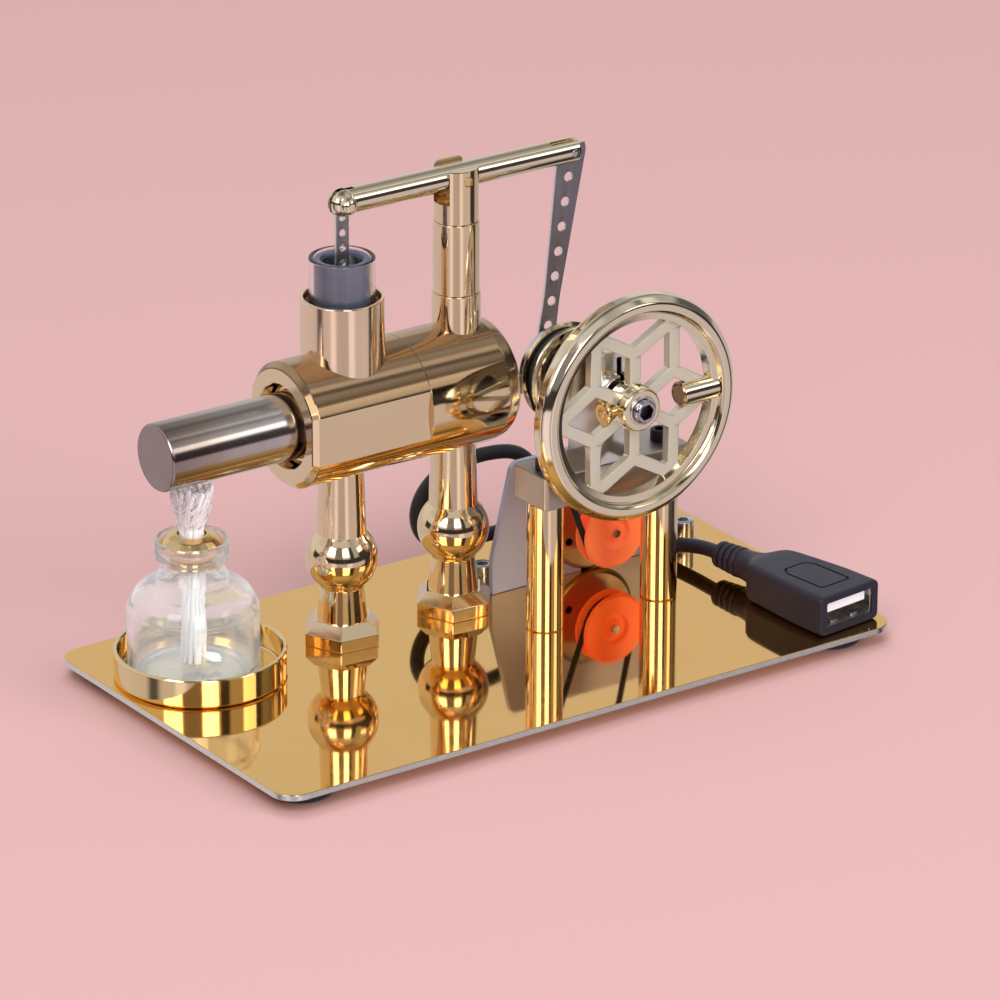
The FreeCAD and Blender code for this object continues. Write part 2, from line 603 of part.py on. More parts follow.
# ---- ball bearings, one at each end of the housing ----
@piece
def bearing_outer_rings():
    # radius, distance from the bearing's front face
    outline = [(3.3, 0), (BEARING_R - 0.15, 0), (BEARING_R, 0.15), (BEARING_R, BEARING_W - 0.15),
               (BEARING_R - 0.15, BEARING_W), (3.3, BEARING_W), (3.3, 2.2), (3.52, 1.9),
               (3.52, 1.1), (3.3, 0.8)]
    return Part.makeCompound([spin_y([(r, front_y + y) for r, y in outline], CRANK_X, CRANK_Z)
                              for front_y in BEARING_Y])


@piece
def bearing_inner_rings():
    return Part.makeCompound([
        spin_y([(SHAFT_HOLE_R, y), (2.15, y), (2.15, y + BEARING_W),
                (SHAFT_HOLE_R, y + BEARING_W)], CRANK_X, CRANK_Z)
        for y in BEARING_Y])


@piece
def bearing_balls():
    count, pitch_r, start_angle = 7, 2.83, 12
    balls = []
    for y in BEARING_Y:
        for k in range(count):
            angle = math.radians(360.0 / count * k + start_angle)
            centre = V(CRANK_X + pitch_r * math.cos(angle), y + BEARING_W / 2,
                       CRANK_Z + pitch_r * math.sin(angle))
            balls.append(Part.makeSphere(0.6, centre))
    return Part.makeCompound(balls)


# ---- bearing support ----
@piece
def bridge_pillars():
    top_z = DECK_Z + PILLAR_H
    outline = [(0, DECK_Z), (PILLAR_R, DECK_Z), (PILLAR_R, top_z), (0, top_z)]
    return Part.makeCompound([
        cut(spin_z(outline, x, PILLAR_Y),
            rod_z(TAPPED_R, x, PILLAR_Y, DECK_Z - 1, TAPPED_Z1),
            rod_z(TAPPED_R, x, PILLAR_Y, top_z - 6, top_z + 1))
        for x in PILLAR_X])


@piece
def bearing_bridge():
    body = box(BRIDGE_X0, BRIDGE_X1, BRIDGE_Y0, BRIDGE_Y1, BRIDGE_Z0, BRIDGE_Z1)
    body = body.makeFillet(1.2, edges_along(body, Z_AXIS))
    for x, y in [(x, PILLAR_Y) for x in PILLAR_X] + [(CRANK_X, HOUSE_SCREW_Y)]:
        body = body.cut(rod_z(1.6, x, y, BRIDGE_Z0 - 1, BRIDGE_Z1 + 1))
    # counterbore from below for the housing's screw
    return body.cut(rod_z(2.9, CRANK_X, HOUSE_SCREW_Y, BRIDGE_Z0 - 1, BRIDGE_Z0 + 2.6))


@piece
def bearing_housing():
    half_w, y0, y1 = HOUSE_W / 2, BRIDGE_Y0, BRIDGE_Y1
    seat_r = BEARING_R + FIT
    body = box(CRANK_X - half_w, CRANK_X + half_w, y0, y1, BRIDGE_Z1, HOUSE_Z1)
    top_edges = [e for e in edges_along(body, Y_AXIS) if e.CenterOfMass.z > HOUSE_Z1 - 0.1]
    body = body.makeFillet(1.8, top_edges)
    collar = spin_y([(0, y0 - 1.2), (5.9, y0 - 1.2), (6.3, y0 - 0.8), (6.3, y0), (0, y0)],
                    CRANK_X, CRANK_Z)
    return cut(fuse(body, collar),
               crank_rod(2.7, -20, 20),
               crank_rod(seat_r, y0 + 0.28, y0 + 0.32 + BEARING_W),
               crank_rod(seat_r, y1 - 0.32 - BEARING_W, y1 + 1),
               crank_rod(seat_r, y0 - 3, y0 + 0.4),
               # narrow slot above the shaft
               box(CRANK_X - 0.6, CRANK_X + 0.6, y0 - 2, y1 + 1, CRANK_Z + 3, HOUSE_Z1 - 1.6),
               rod_z(TAPPED_R, CRANK_X, HOUSE_SCREW_Y, BRIDGE_Z1 - 1, BRIDGE_Z1 + 4.0))


def cap_screw(x, y, tip_z, seat_z, top_z, head_r, socket_z):
    body = spin_z([(0, tip_z), (THREAD_R, tip_z), (THREAD_R, seat_z), (head_r, seat_z),
                   (head_r, top_z - 0.3), (head_r - 0.3, top_z), (0, top_z)], x, y)
    return body.cut(hex_socket(x, y, socket_z, 3))


@piece
def cap_screws():
    """Two in the bridge, one up into the bearing housing, two in the bracket."""
    screws = [cap_screw(x, PILLAR_Y, tip_z=BRIDGE_Z0 - 5.5, seat_z=BRIDGE_Z1,
                        top_z=BRIDGE_Z1 + 2.7, head_r=2.4, socket_z=BRIDGE_Z1 + 1.3)
              for x in PILLAR_X]
    upward = spin_z([(0, BRIDGE_Z0 + 0.1), (2.7, BRIDGE_Z0 + 0.1), (2.7, BRIDGE_Z0 + 2.55),
                     (THREAD_R, BRIDGE_Z0 + 2.55), (THREAD_R, BRIDGE_Z1 + 3.5),
                     (0, BRIDGE_Z1 + 3.5)], CRANK_X, HOUSE_SCREW_Y)
    screws.append(upward.cut(hex_socket(CRANK_X, HOUSE_SCREW_Y, BRIDGE_Z0 - 0.5, 2.0)))
    screws += [cap_screw(x, y, tip_z=FOOT_H - 0.8, seat_z=DECK_Z + 1.22,
                         top_z=DECK_Z + 6.3, head_r=2.6, socket_z=DECK_Z + 4.7)
               for x, y in BRACKET_BOLTS]
    return Part.makeCompound(screws)


# ---- generator ----
def gen_rod(radius, y0, y1):
    return rod_y(radius, GEN_X, GEN_Z, y0, y1)


def gen_spin(outline):
    return spin_y(outline, GEN_X, GEN_Z)


@piece
def generator_can():
    body = gen_spin([(0, GEN_Y0 - 1.4), (3.0, GEN_Y0 - 1.4), (3.0, GEN_Y0), (GEN_R - 0.9, GEN_Y0),
                     (GEN_R, GEN_Y0 + 0.9), (GEN_R, GEN_Y1), (GEN_R - 0.5, GEN_Y1),
                     (GEN_R - 0.5, GEN_Y0 + 1.0), (0, GEN_Y0 + 1.0)])
    face_holes = [rod_y(1.0, GEN_X + side * 7.3, GEN_Z + side * 3.6, 0, 40) for side in (-1, 1)]
    return cut(body, gen_rod(1.03, 0, 40), *face_holes)


@piece
def generator_magnets():
    inner, outer, y0, y1 = 9.2, GEN_R - 0.55, GEN_Y0 + 1.6, GEN_Y1 - 2.4
    return cut(gen_spin([(inner, y0), (outer, y0), (outer, y1), (inner, y1)]),
               box(GEN_X - 3, GEN_X + 3, 0, 60, GEN_Z - 20, GEN_Z + 20))


@piece
def generator_armature():
    """Core and shaft."""
    core = gen_spin([(0, GEN_Y0 + 2.8), (8.6, GEN_Y0 + 2.8), (8.6, GEN_Y1 - 3.2),
                     (3.2, GEN_Y1 - 3.2), (3.2, GEN_Y1 - 2.6), (0, GEN_Y1 - 2.6)])
    return fuse(core, gen_rod(0.98, PULLEY_Y0 - 0.2, GEN_Y1 + 0.2))


@piece
def generator_end_cap():
    rim = GEN_R - 0.53
    body = gen_spin([(0, GEN_Y1 - 2.2), (rim, GEN_Y1 - 2.2), (rim, GEN_Y1 - 0.02),
                     (GEN_R - 1.6, GEN_Y1 + 0.3), (3.4, GEN_Y1 + 0.3), (3.2, GEN_Y1 + 1.0),
                     (0, GEN_Y1 + 1.0)])
    return cut(body, gen_rod(1.05, 0, GEN_Y1 + 0.4))


@piece
def generator_pulley():
    rim, y0, y1 = MOTOR_PULLEY_R, BELT_Y - 2.3, BELT_Y + 2.3
    floor_r = BELT_SMALL_R - GROOVE_DEPTH
    body = gen_spin([(0, y0 + 0.5), (3.6, y0 + 0.5), (4.0, y0), (rim - 0.7, y0), (rim, y0 + 0.6),
                     (rim, BELT_Y - 1.5), (BELT_SMALL_R - 1.0, BELT_Y - 1.1),
                     (floor_r, BELT_Y - 0.5), (floor_r, BELT_Y + 0.5),
                     (BELT_SMALL_R - 1.0, BELT_Y + 1.1), (rim, BELT_Y + 1.5), (rim, y1 - 0.4),
                     (rim - 0.4, y1), (3.0, y1), (3.0, y1 + 1.6), (0, y1 + 1.6)])
    return cut(body, gen_rod(1.0, 0, 40))


def belt_point(x, z, radius, angle):
    return V(x + radius * math.cos(angle), BELT_Y, z + radius * math.sin(angle))


def belt_bend(x, z, radius, angle0, angle1):
    """Belt round a pulley at x, z, from angle0 up to angle1 in radians."""
    section = Part.makeCircle(BELT_R, belt_point(x, z, radius, angle0),
                              V(-math.sin(angle0), 0, math.cos(angle0)))
    return Part.Face(Part.Wire([section])).revolve(V(x, BELT_Y, z), V(0, -1, 0),
                                                   math.degrees(angle1 - angle0))


@piece
def drive_belt():
    """Round belt around both pulleys."""
    dx, dz = GEN_X - CRANK_X, GEN_Z - CRANK_Z
    centre_line = math.atan2(dz, dx)
    offset = math.acos((BELT_BIG_R - BELT_SMALL_R) / math.hypot(dx, dz))
    upper, lower = centre_line + offset, centre_line - offset
    runs = [cylinder(BELT_R, belt_point(CRANK_X, CRANK_Z, BELT_BIG_R, upper),
                     belt_point(GEN_X, GEN_Z, BELT_SMALL_R, upper)),
            cylinder(BELT_R, belt_point(GEN_X, GEN_Z, BELT_SMALL_R, lower),
                     belt_point(CRANK_X, CRANK_Z, BELT_BIG_R, lower))]
    return fuse(belt_bend(CRANK_X, CRANK_Z, BELT_BIG_R, upper, lower + 2 * math.pi),
                belt_bend(GEN_X, GEN_Z, BELT_SMALL_R, lower, upper), *runs)


@piece
def generator_bracket():
    # x, height above the plate
    outline = [(17.2, 0), (17.2, 9), (23, 32.5), (65, 32.5), (70.5, 9), (70.5, 0)]
    body = prism([(x, BRACKET_Y0, DECK_Z + z) for x, z in outline],
                 (0, BRACKET_Y1 - BRACKET_Y0, 0))
    body = fuse(body, box(15.2, 21.6, 20.4, 27.6, DECK_Z, DECK_Z + 1.2),
                box(70.4, 76.8, 15.4, 22.2, DECK_Z, DECK_Z + 1.2))
    return cut(body,
               gen_rod(GEN_R + LOOSE_FIT, 10, 30),
               box(GEN_X - 3, GEN_X + 3, 10, 30, DECK_Z - 1, DECK_Z + 3),
               # round-topped opening for the cable
               box(64.0, 68.4, 10, 30, DECK_Z - 1, DECK_Z + 3.6),
               rod_y(2.2, 66.2, DECK_Z + 3.6, 10, 30),
               *[rod_z(1.6, x, y, DECK_Z - 1, DECK_Z + 3) for x, y in BRACKET_BOLTS])


# ---- cable and socket ----
SOCKET_FRONT = V(74.8, -44.9, DECK_Z)      # below the centre of the front face
SOCKET_TURN = math.radians(6.6)
BACKWARD = V(-math.sin(SOCKET_TURN), math.cos(SOCKET_TURN), 0)
RIGHTWARD = V(math.cos(SOCKET_TURN), math.sin(SOCKET_TURN), 0)
SOCKET_Z = 5.05                            # socket axis above the plate
CABLE_R = 1.75


def socket_point(side, back, z):
    """Point at side to the right, back behind the front face and z above the plate."""
    return SOCKET_FRONT + RIGHTWARD * side + BACKWARD * back + V(0, 0, z)


def rounded_section(width, height, radius):
    """Rounded rectangle about the socket axis, as (side, height) points."""
    side, rise = width / 2 - radius, height / 2 - radius
    points = []
    for x, z, start in ((side, rise, 0), (-side, rise, 90), (-side, -rise, 180),
                        (side, -rise, 270)):
        for k in range(4):
            angle = math.radians(start + 30 * k)
            points.append((x + radius * math.cos(angle),
                           SOCKET_Z + z + radius * math.sin(angle)))
    return points


def socket_loft(*stations):
    """Ruled loft; stations: width, height, corner radius, distance back."""
    wires = [polygon([socket_point(side, back, z)
                      for side, z in rounded_section(width, height, radius)])
             for width, height, radius, back in stations]
    return Part.makeLoft(wires, True, True)


def socket_box(half_w, back0, back1, z0, z1):
    """Box centred sideways in the socket's frame; z from the socket axis."""
    corners = [(-half_w, z0), (half_w, z0), (half_w, z1), (-half_w, z1)]
    base = face([socket_point(side, back0, SOCKET_Z + z) for side, z in corners])
    return base.extrude(BACKWARD * (back1 - back0))


@piece
def usb_shell():
    return socket_box(7.0, -0.3, 14.0, -3.3, 3.3).cut(socket_box(6.5, -1, 13.5, -2.8, 2.8))


@piece
def usb_tongue():
    return fuse(socket_box(5.6, 0.6, 13.45, 0.3, 2.2), socket_box(6.4, 11.5, 13.45, -2.7, 2.7))


@piece
def usb_socket_body():
    front = socket_loft((18.9, 9.9, 1.5, 0), (18.6, 9.9, 1.5, 10), (15.6, 9.6, 1.5, 25))
    shoulder = socket_loft((15.6, 9.6, 1.5, 24.9), (11.6, 8.8, 1.5, 29))
    neck = socket_loft((11.6, 8.8, 1.5, 28.9), (7.6, 7.6, 3.0, 31.5), (7.0, 7.0, 3.0, 36.0))
    body = fuse(front, shoulder, neck)
    body = body.cut(socket_box(7.02, -1, 14.02, -3.32, 3.32))
    # strain relief: three ribs on a tapered sleeve
    ribs = [Part.makeCylinder(3.5 - 0.22 * k, 1.25, socket_point(0, 38.05 + 2.0 * k, SOCKET_Z),
                              BACKWARD) for k in range(3)]
    relief = fuse(*ribs, Part.makeCone(3.3, 2.3, 11.2, socket_point(0, 33.5, SOCKET_Z), BACKWARD))
    # bored before the fuse and again after it, since the neck fills the bore's start
    bore = Part.makeCylinder(CABLE_R + LOOSE_FIT, 9.7, socket_point(0, 35.05, SOCKET_Z), BACKWARD)
    return cut(fuse(body, relief.cut(bore)), bore)


@piece
def usb_cable():
    # x, y, height above the plate: from above the generator round to the socket
    route = [(40.5, 33.4, 21.0), (35.5, 33.8, 27.0), (28, 33.6, 29.3), (18, 33.2, 29.3),
             (9, 32.6, 26.3), (4.6, 32.2, 19.6), (7, 32.6, 13.0), (15, 33.2, 9.6),
             (30, 34.2, 8.2), (48, 35.0, 6.2), (61.0, 31.5, 4.0), (65.6, 25.2, 3.1),
             (66.2, 19.8, 2.9), (67.0, 13.5, 3.3), (69.0, 6.0, 4.5)]
    points = [V(x, y, DECK_Z + z) for x, y, z in route]
    points += [socket_point(0, back, SOCKET_Z) for back in (44.5, 40, 35.2)]
    path = Part.BSplineCurve()
    path.interpolate(points)
    start_direction = path.tangent(path.FirstParameter)[0]
    section = Part.Wire([Part.makeCircle(CABLE_R, points[0], start_direction)])
    return Part.Wire([path.toShape()]).makePipeShell([section], True, True)


# ---- spirit burner ----
def burner_part(outline):
    """Turn (radius, height above the tray's floor) points about the bottle's axis."""
    return spin_z([(r, BOTTLE_Z + z) for r, z in outline], BOTTLE_X, BOTTLE_Y)


@piece
def burner_tray():
    top_z = DECK_Z + TRAY_H
    return spin_z([(0, DECK_Z), (TRAY_R - 0.6, DECK_Z), (TRAY_R, DECK_Z + 0.6),
                   (TRAY_R, top_z - 0.3), (TRAY_R - 0.3, top_z), (TRAY_R - 0.9, top_z),
                   (TRAY_R - 1.1, top_z - 0.3), (TRAY_R - 1.1, DECK_Z + 1.0),
                   (0, DECK_Z + 1.0)], TRAY_X, TRAY_Y)


@piece
def burner_bottle():
    return burner_part([
        # outside, from the base up to the lip
        (0, 0.4), (11.5, 0.4), (12.5, 0), (14.6, 0.5), (15.4, 1.8), (15.4, 16.5), (14.9, 18.6),
        (13.2, 20.7), (10.6, 22.6), (8.2, 24.2), (7.2, 25.6), (7.1, 27.4), (7.6, 28.0),
        (8.5, 28.5), (8.7, 29.4), (8.5, 30.6), (7.6, 31.0),
        # inside, back down
        (5.4, 31.0), (5.4, 25.4), (6.5, 23.9), (9.2, 22.0), (12.2, 19.6), (13.7, 17.9),
        (14.0, 16.3), (14.0, 2.6), (13.3, 1.9), (0, 1.9)])


@piece
def burner_cap():
    return burner_part([(3.3, 27.5), (5.3, 27.5), (5.3, 31.05), (7.3, 31.05), (7.6, 31.4),
                        (7.4, 32.2), (6.4, 33.4), (5.0, 34.3), (4.1, 34.6), (3.3, 34.6)])


@piece
def burner_wick():
    return burner_part([(0, 3.0), (2.7, 3.0), (3.15, 12), (3.15, 36.5), (4.6, 40.5),
                        (5.0, 44.5), (4.0, 46.0), (0, 46.3)])


for build in PIECES:
    build().exportStep("parts/" + build.__name__ + ".step")
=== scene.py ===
"""A beam hot-air engine on a gold plate: spirit burner, glass power cylinder, rocking beam,
flywheel, and a belt-driven generator wired to a USB socket.

Lengths are in millimetres until a mesh is made. The plate lies along X with the burner at -X,
-Y is the front, Z is up and the floor is at z = 0.
"""
import random
from math import acos, asin, atan2, cos, degrees, hypot, pi, radians, sin, sqrt, tan

import bmesh
import bpy
from mathutils import Matrix, Vector
from mathutils.geometry import tessellate_polygon


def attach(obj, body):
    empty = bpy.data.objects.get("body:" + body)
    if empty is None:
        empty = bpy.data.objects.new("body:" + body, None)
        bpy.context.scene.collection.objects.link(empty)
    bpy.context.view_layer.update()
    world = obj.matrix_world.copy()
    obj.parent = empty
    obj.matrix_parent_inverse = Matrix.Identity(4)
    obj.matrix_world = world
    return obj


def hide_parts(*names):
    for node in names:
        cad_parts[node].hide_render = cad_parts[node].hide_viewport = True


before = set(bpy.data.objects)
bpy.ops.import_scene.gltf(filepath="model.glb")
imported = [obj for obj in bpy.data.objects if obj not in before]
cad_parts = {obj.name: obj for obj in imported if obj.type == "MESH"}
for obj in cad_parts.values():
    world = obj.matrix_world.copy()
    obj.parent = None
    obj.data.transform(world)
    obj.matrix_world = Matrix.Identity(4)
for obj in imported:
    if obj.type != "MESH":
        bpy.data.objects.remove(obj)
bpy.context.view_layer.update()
random.seed(7)

# ---- driving dimensions ---------------------------------------------------------
MM = 0.001
X, Y, Z = (1, 0, 0), (0, 1, 0), (0, 0, 1)
TOP, UNDERSIDE = 5.0, 3.5                    # faces of the base plate
AXIS_Y, AXIS_Z = 18.6, TOP + 56.7            # axis of the horizontal cylinder
MAIN = (0, AXIS_Y, AXIS_Z)
BLOCK_R, FLAT = 15.0, 13.8                   # cooling block: radius, and centre to flat
BLOCK_LEFT, BLOCK_RIGHT, REAR_END = -42.0, -10.0, 16.2
POWER_X = -25.15                             # axis of the upright power cylinder
POWER = (POWER_X, AXIS_Y, TOP)
POST_X, ARM, BEAM_Z, BEAM_R = 6.6, 31.75, TOP + 107.7, 3.05
POST = (POST_X, AXIS_Y, 0)
BEAM_LEFT, BEAM_RIGHT = POST_X - ARM, POST_X + ARM
CRANK_X, CRANK_Z = 33.4, TOP + 55.6
CRANK = (CRANK_X, 0, CRANK_Z)
PIN_X, PIN_Z = 29.6, TOP + 50.9              # crank pin
ROD_Y, STRIP = 17.2, 0.8                     # front face of the rod, thickness of the straps
GEN_X, GEN_Z, GEN_R, GEN_FRONT, GEN_BACK = 46.2, TOP + 12.4, 12.15, 18.0, 30.3
GEN = (GEN_X, 0, GEN_Z)
BELT_Y, BELT_BIG, BELT_SMALL = 11.2, 10.9, 7.7
LEG_X = [-25.8, 5.7]
BRACKET_BOLTS = [(17.9, 24.2), (73.4, 18.8)]
PILLARS = [(16.8, -3.0), (49.9, -3.0)]
LOWER_SCREWS = [(x, AXIS_Y) for x in LEG_X] + PILLARS


# ---- shader node helpers ----------------------------------------------------------
class Nodes:
    """Makes shader nodes and their links in one call each."""

    def __init__(self, tree):
        self.tree = tree
        tree.nodes.clear()

    def node(self, kind, **settings):
        node = self.tree.nodes.new(kind)
        for key, value in settings.items():
            setattr(node, key, value)
        return node

    def put(self, socket, value):
        """Link or set an input; three numbers fill a colour."""
        if isinstance(value, bpy.types.NodeSocket):
            self.tree.links.new(value, socket)
        elif isinstance(value, tuple) and len(value) == 3 and socket.type == "RGBA":
            socket.default_value = (*value, 1)
        else:
            socket.default_value = value

    def made(self, kind, inputs, output=0, **settings):
        """Make a node, fill its inputs and return one output."""
        node = self.node(kind, **settings)
        for key, value in inputs.items():
            self.put(node.inputs[key], value)
        return node.outputs[output]

    def calc(self, operation, *values, clamp=False):
        return self.made("ShaderNodeMath", dict(enumerate(values)),
                         operation=operation, use_clamp=clamp)

    def ramp(self, factor, stops):
        """Colour ramp of (position, grey or colour) stops."""
        node = self.node("ShaderNodeValToRGB")
        elements = node.color_ramp.elements
        while len(elements) < len(stops):
            elements.new(0.5)
        for element, (position, value) in zip(elements, stops):
            element.position = position
            element.color = (*value, 1) if isinstance(value, tuple) else (value,) * 3 + (1,)
        self.put(node.inputs[0], factor)
        return node.outputs[0]

    def mix(self, factor, first, second, mode="MIX"):
        return self.made("ShaderNodeMix", {0: factor, 6: first, 7: second}, 2,
                         data_type="RGBA", blend_type=mode)

    def blend(self, factor, first, second):
        return self.made("ShaderNodeMixShader", {0: factor, 1: first, 2: second})

    def split(self, vector):
        node = self.node("ShaderNodeSeparateXYZ")
        self.put(node.inputs[0], vector)
        return node.outputs


MATERIALS = {}


class Material(Nodes):
    """A material with a principled surface, in object coordinates."""

    def __init__(self, name):
        MATERIALS[name] = bpy.data.materials.new(name)
        MATERIALS[name].use_nodes = True
        super().__init__(MATERIALS[name].node_tree)
        self.output = self.node("ShaderNodeOutputMaterial")
        self.surface = self.node("ShaderNodeBsdfPrincipled")
        self.put(self.output.inputs[0], self.surface.outputs[0])
        self.coords = self.node("ShaderNodeTexCoord").outputs["Object"]

    def set(self, **values):
        """Fill surface inputs; an underscore stands for a space."""
        for key, value in values.items():
            self.put(self.surface.inputs[key.replace("_", " ")], value)

    def noise(self, scale, detail=4.0, rough=0.55, distort=0.0, stretch=None):
        at = self.coords
        if stretch:
            at = self.made("ShaderNodeMapping", {"Vector": at, "Scale": stretch})
        return self.made("ShaderNodeTexNoise", {
            "Vector": at, "Scale": scale, "Detail": detail, "Roughness": rough,
            "Distortion": distort})

    def bump(self, height, strength, distance):
        return self.made("ShaderNodeBump", {
            "Strength": strength, "Distance": distance, "Height": height})


def shade(colour, factor):
    return tuple(min(1, part * factor) for part in colour)


# ---- materials ------------------------------------------------------------------------
# name, colour, roughness, smudge, grain stretch, grain scale, grain bump, tone change, film colour
METALS = [
    ("gold_plate", (0.92, 0.575, 0.195), 0.035, 0.03, (1, 1, 1), 700.0, 0.006, 0.035,
     (0.95, 0.53, 0.19)),
    ("tray_gold", (0.90, 0.71, 0.40), 0.06, 0.04, (1, 1, 8), 500.0, 0.012, 0.05,
     (0.93, 0.66, 0.36)),
    ("gold_brass", (0.88, 0.695, 0.465), 0.06, 0.05, (1, 1, 8), 500.0, 0.012, 0.05,
     (0.90, 0.65, 0.40)),
    ("rose_gold", (0.93, 0.72, 0.53), 0.09, 0.06, (1, 1, 10), 500.0, 0.02, 0.05,
     (0.95, 0.66, 0.47)),
    ("pale_gold", (0.90, 0.795, 0.62), 0.07, 0.05, (1, 1, 1), 800.0, 0.012, 0.05,
     (0.92, 0.78, 0.52)),
    ("brass", (0.88, 0.66, 0.32), 0.12, 0.08, (1, 8, 1), 700.0, 0.03, 0.08),
    ("thin_steel", (0.72, 0.72, 0.73), 0.20, 0.10, (1, 10, 1), 800.0, 0.04, 0.07),
    # cooling block brass: a copy of gold_brass that gets painted shade on its upward faces
    ("block_brass", (0.88, 0.695, 0.465), 0.06, 0.04, (1, 1, 8), 500.0, 0.012, 0.05,
     (0.90, 0.65, 0.40)),
    ("web_gold", (0.74, 0.695, 0.56), 0.20, 0.015, (1, 1, 1), 700.0, 0.0, 0.05),
    ("dark_chrome", (0.50, 0.48, 0.54), 0.12, 0.06, (1, 1, 1), 900.0, 0.02, 0.08),
    ("dark_bronze", (0.42, 0.27, 0.15), 0.16, 0.10, (1, 1, 1), 900.0, 0.04, 0.12),
    ("bridge_alu", (0.60, 0.545, 0.52), 0.36, 0.10, (14, 1, 1), 500.0, 0.06, 0.06),
    ("silver", (0.78, 0.75, 0.73), 0.14, 0.08, (14, 1, 1), 500.0, 0.03, 0.06),
    ("bracket_silver", (0.47, 0.45, 0.54), 0.38, 0.10, (14, 1, 1), 500.0, 0.04, 0.06),
    ("dark_steel", (0.36, 0.34, 0.38), 0.32, 0.12, (1, 1, 0.06), 1400.0, 0.10, 0.12),
    ("cut_edge", (0.80, 0.79, 0.80), 0.22, 0.10, (1, 1, 12), 900.0, 0.05, 0.05),
    ("black_steel", (0.055, 0.052, 0.062), 0.28, 0.12, (1, 1, 1), 1200.0, 0.05, 0.15),
    ("motor_steel", (0.48, 0.36, 0.26), 0.28, 0.12, (1, 1, 1), 900.0, 0.05, 0.12,
     (0.36, 0.25, 0.16)),
]
PART_METALLIC = {"web_gold": 0.70, "bracket_silver": 0.45}
# name, colour, roughness, bump, bump scale, specular level, tone change
PLASTICS = [
    ("rubber", (0.020, 0.020, 0.024), 0.62, 0.3, 2400.0, 0.35, 0.25),
    ("cable_sheath", (0.018, 0.018, 0.024), 0.38, 0.12, 1800.0, 0.5, 0.25),
    ("black_plastic", (0.017, 0.0155, 0.027), 0.36, 0.25, 3000.0, 0.45, 0.12),
    ("white_plastic", (0.86, 0.86, 0.90), 0.40, 0.08, 2000.0, 0.5, 0.03),
    ("orange_plastic", (1.0, 0.20, 0.062), 0.34, 0.06, 1500.0, 0.5, 0.05),
    ("red_wire", (0.55, 0.03, 0.02), 0.42, 0.05, 1500.0, 0.5, 0.1),
    ("seal_rubber", (0.055, 0.016, 0.012), 0.42, 0.15, 2400.0, 0.5, 0.2),
]


def metal(name, colour, rough, smudge, stretch, grain_scale, grain_bump, tone, film=None):
    """Metal with slow tone changes, smudged roughness and fine directional grain."""
    mat = Material(name)
    slow = mat.noise(scale=55.0, detail=3.0, rough=0.5, distort=0.4)
    base = mat.mix(slow, shade(colour, 1 - tone), shade(colour, 1 + tone * 0.6))
    if film:
        patches = mat.ramp(mat.noise(scale=18.0, detail=2.0), [(0.40, 0.0), (0.66, 1.0)])
        base = mat.mix(mat.calc("MULTIPLY", patches, 0.35), base, film)
    smears = mat.noise(scale=210.0, detail=5.0, rough=0.62, distort=0.7)
    grain = mat.noise(scale=grain_scale, detail=3.0, rough=0.6, stretch=stretch)
    smears = mat.ramp(smears, [(0.35, 0.0), (0.75, 1.0)])
    rough = mat.calc("ADD", rough, mat.calc("MULTIPLY", smears, smudge))
    streaks = mat.ramp(grain, [(0.45, 0.0), (0.8, 1.0)])
    rough = mat.calc("ADD", rough, mat.calc("MULTIPLY", streaks, smudge * 0.6))
    mat.set(Metallic=PART_METALLIC.get(name, 1.0), Base_Color=base, Roughness=rough)
    if grain_bump > 0:
        mat.set(Normal=mat.bump(grain, strength=grain_bump, distance=0.00003))
    return mat


def paint_shade_on_upper_faces(mat):
    """Painted shade: multiply the base colour by a ramp over the Z part of the surface normal, so
    faces turned upward come out darker.
    """
    base = mat.surface.inputs["Base Color"]
    source = base.links[0].from_socket
    normal = mat.node("ShaderNodeNewGeometry").outputs["Normal"]
    tint = mat.ramp(mat.split(normal)[2], [
        (0.0, (1, 1, 1)), (0.26, (1, 1, 1)), (0.36, (0.26, 0.22, 0.19)),
        (0.58, (0.24, 0.20, 0.17)), (0.66, (0.56, 0.47, 0.42)), (1.0, (0.60, 0.50, 0.45))])
    mat.put(base, mat.mix(1.0, source, tint, "MULTIPLY"))


def hot_steel():
    """Steel with fine rings round X and a brownish bloom at its closed -X end."""
    colour = (0.62, 0.56, 0.56)
    hot_x, cool_x = -0.0763, -0.047          # metres
    mat = Material("hot_steel")
    rings = mat.noise(scale=90.0, detail=6.0, rough=0.75, stretch=(60.0, 1.0, 1.0))
    soft = mat.noise(scale=70.0, detail=3.0)
    base = mat.mix(soft, shade(colour, 0.93), shade(colour, 1.04))
    marks = mat.ramp(rings, [(0.40, 0.0), (0.62, 0.16)])
    base = mat.mix(marks, base, shade(colour, 0.72))
    ragged = mat.calc("MULTIPLY", mat.calc("SUBTRACT", soft, 0.5), 0.012)
    along = mat.calc("ADD", mat.split(mat.coords)[0], ragged)
    along = mat.calc("DIVIDE", mat.calc("SUBTRACT", along, hot_x), cool_x - hot_x, clamp=True)
    bloom = mat.ramp(along, [(0.0, (0.60, 0.53, 0.50)), (0.35, (0.80, 0.72, 0.64)),
                             (0.6, (0.93, 0.90, 0.86)), (1.0, (1, 1, 1))])
    mat.set(Metallic=1.0, Base_Color=mat.mix(1.0, base, bloom, "MULTIPLY"),
            Roughness=mat.calc("ADD", 0.11, mat.calc("MULTIPLY", rings, 0.10)),
            Normal=mat.bump(rings, strength=0.04, distance=0.00002))


def plastic(name, colour, rough, bump, bump_scale, specular, tone):
    mat = Material(name)
    slow = mat.noise(scale=60.0, detail=3.0)
    uneven = mat.calc("MULTIPLY", mat.noise(scale=300.0), 0.14)
    fine = mat.noise(scale=bump_scale, detail=3.0, rough=0.6)
    mat.set(Base_Color=mat.mix(slow, shade(colour, 1 - tone), shade(colour, 1 + tone)),
            Roughness=mat.calc("ADD", rough, uneven), Specular_IOR_Level=specular,
            Coat_Weight=0.0, Coat_Roughness=0.12,
            Normal=mat.bump(fine, strength=bump, distance=0.00005))
    return mat


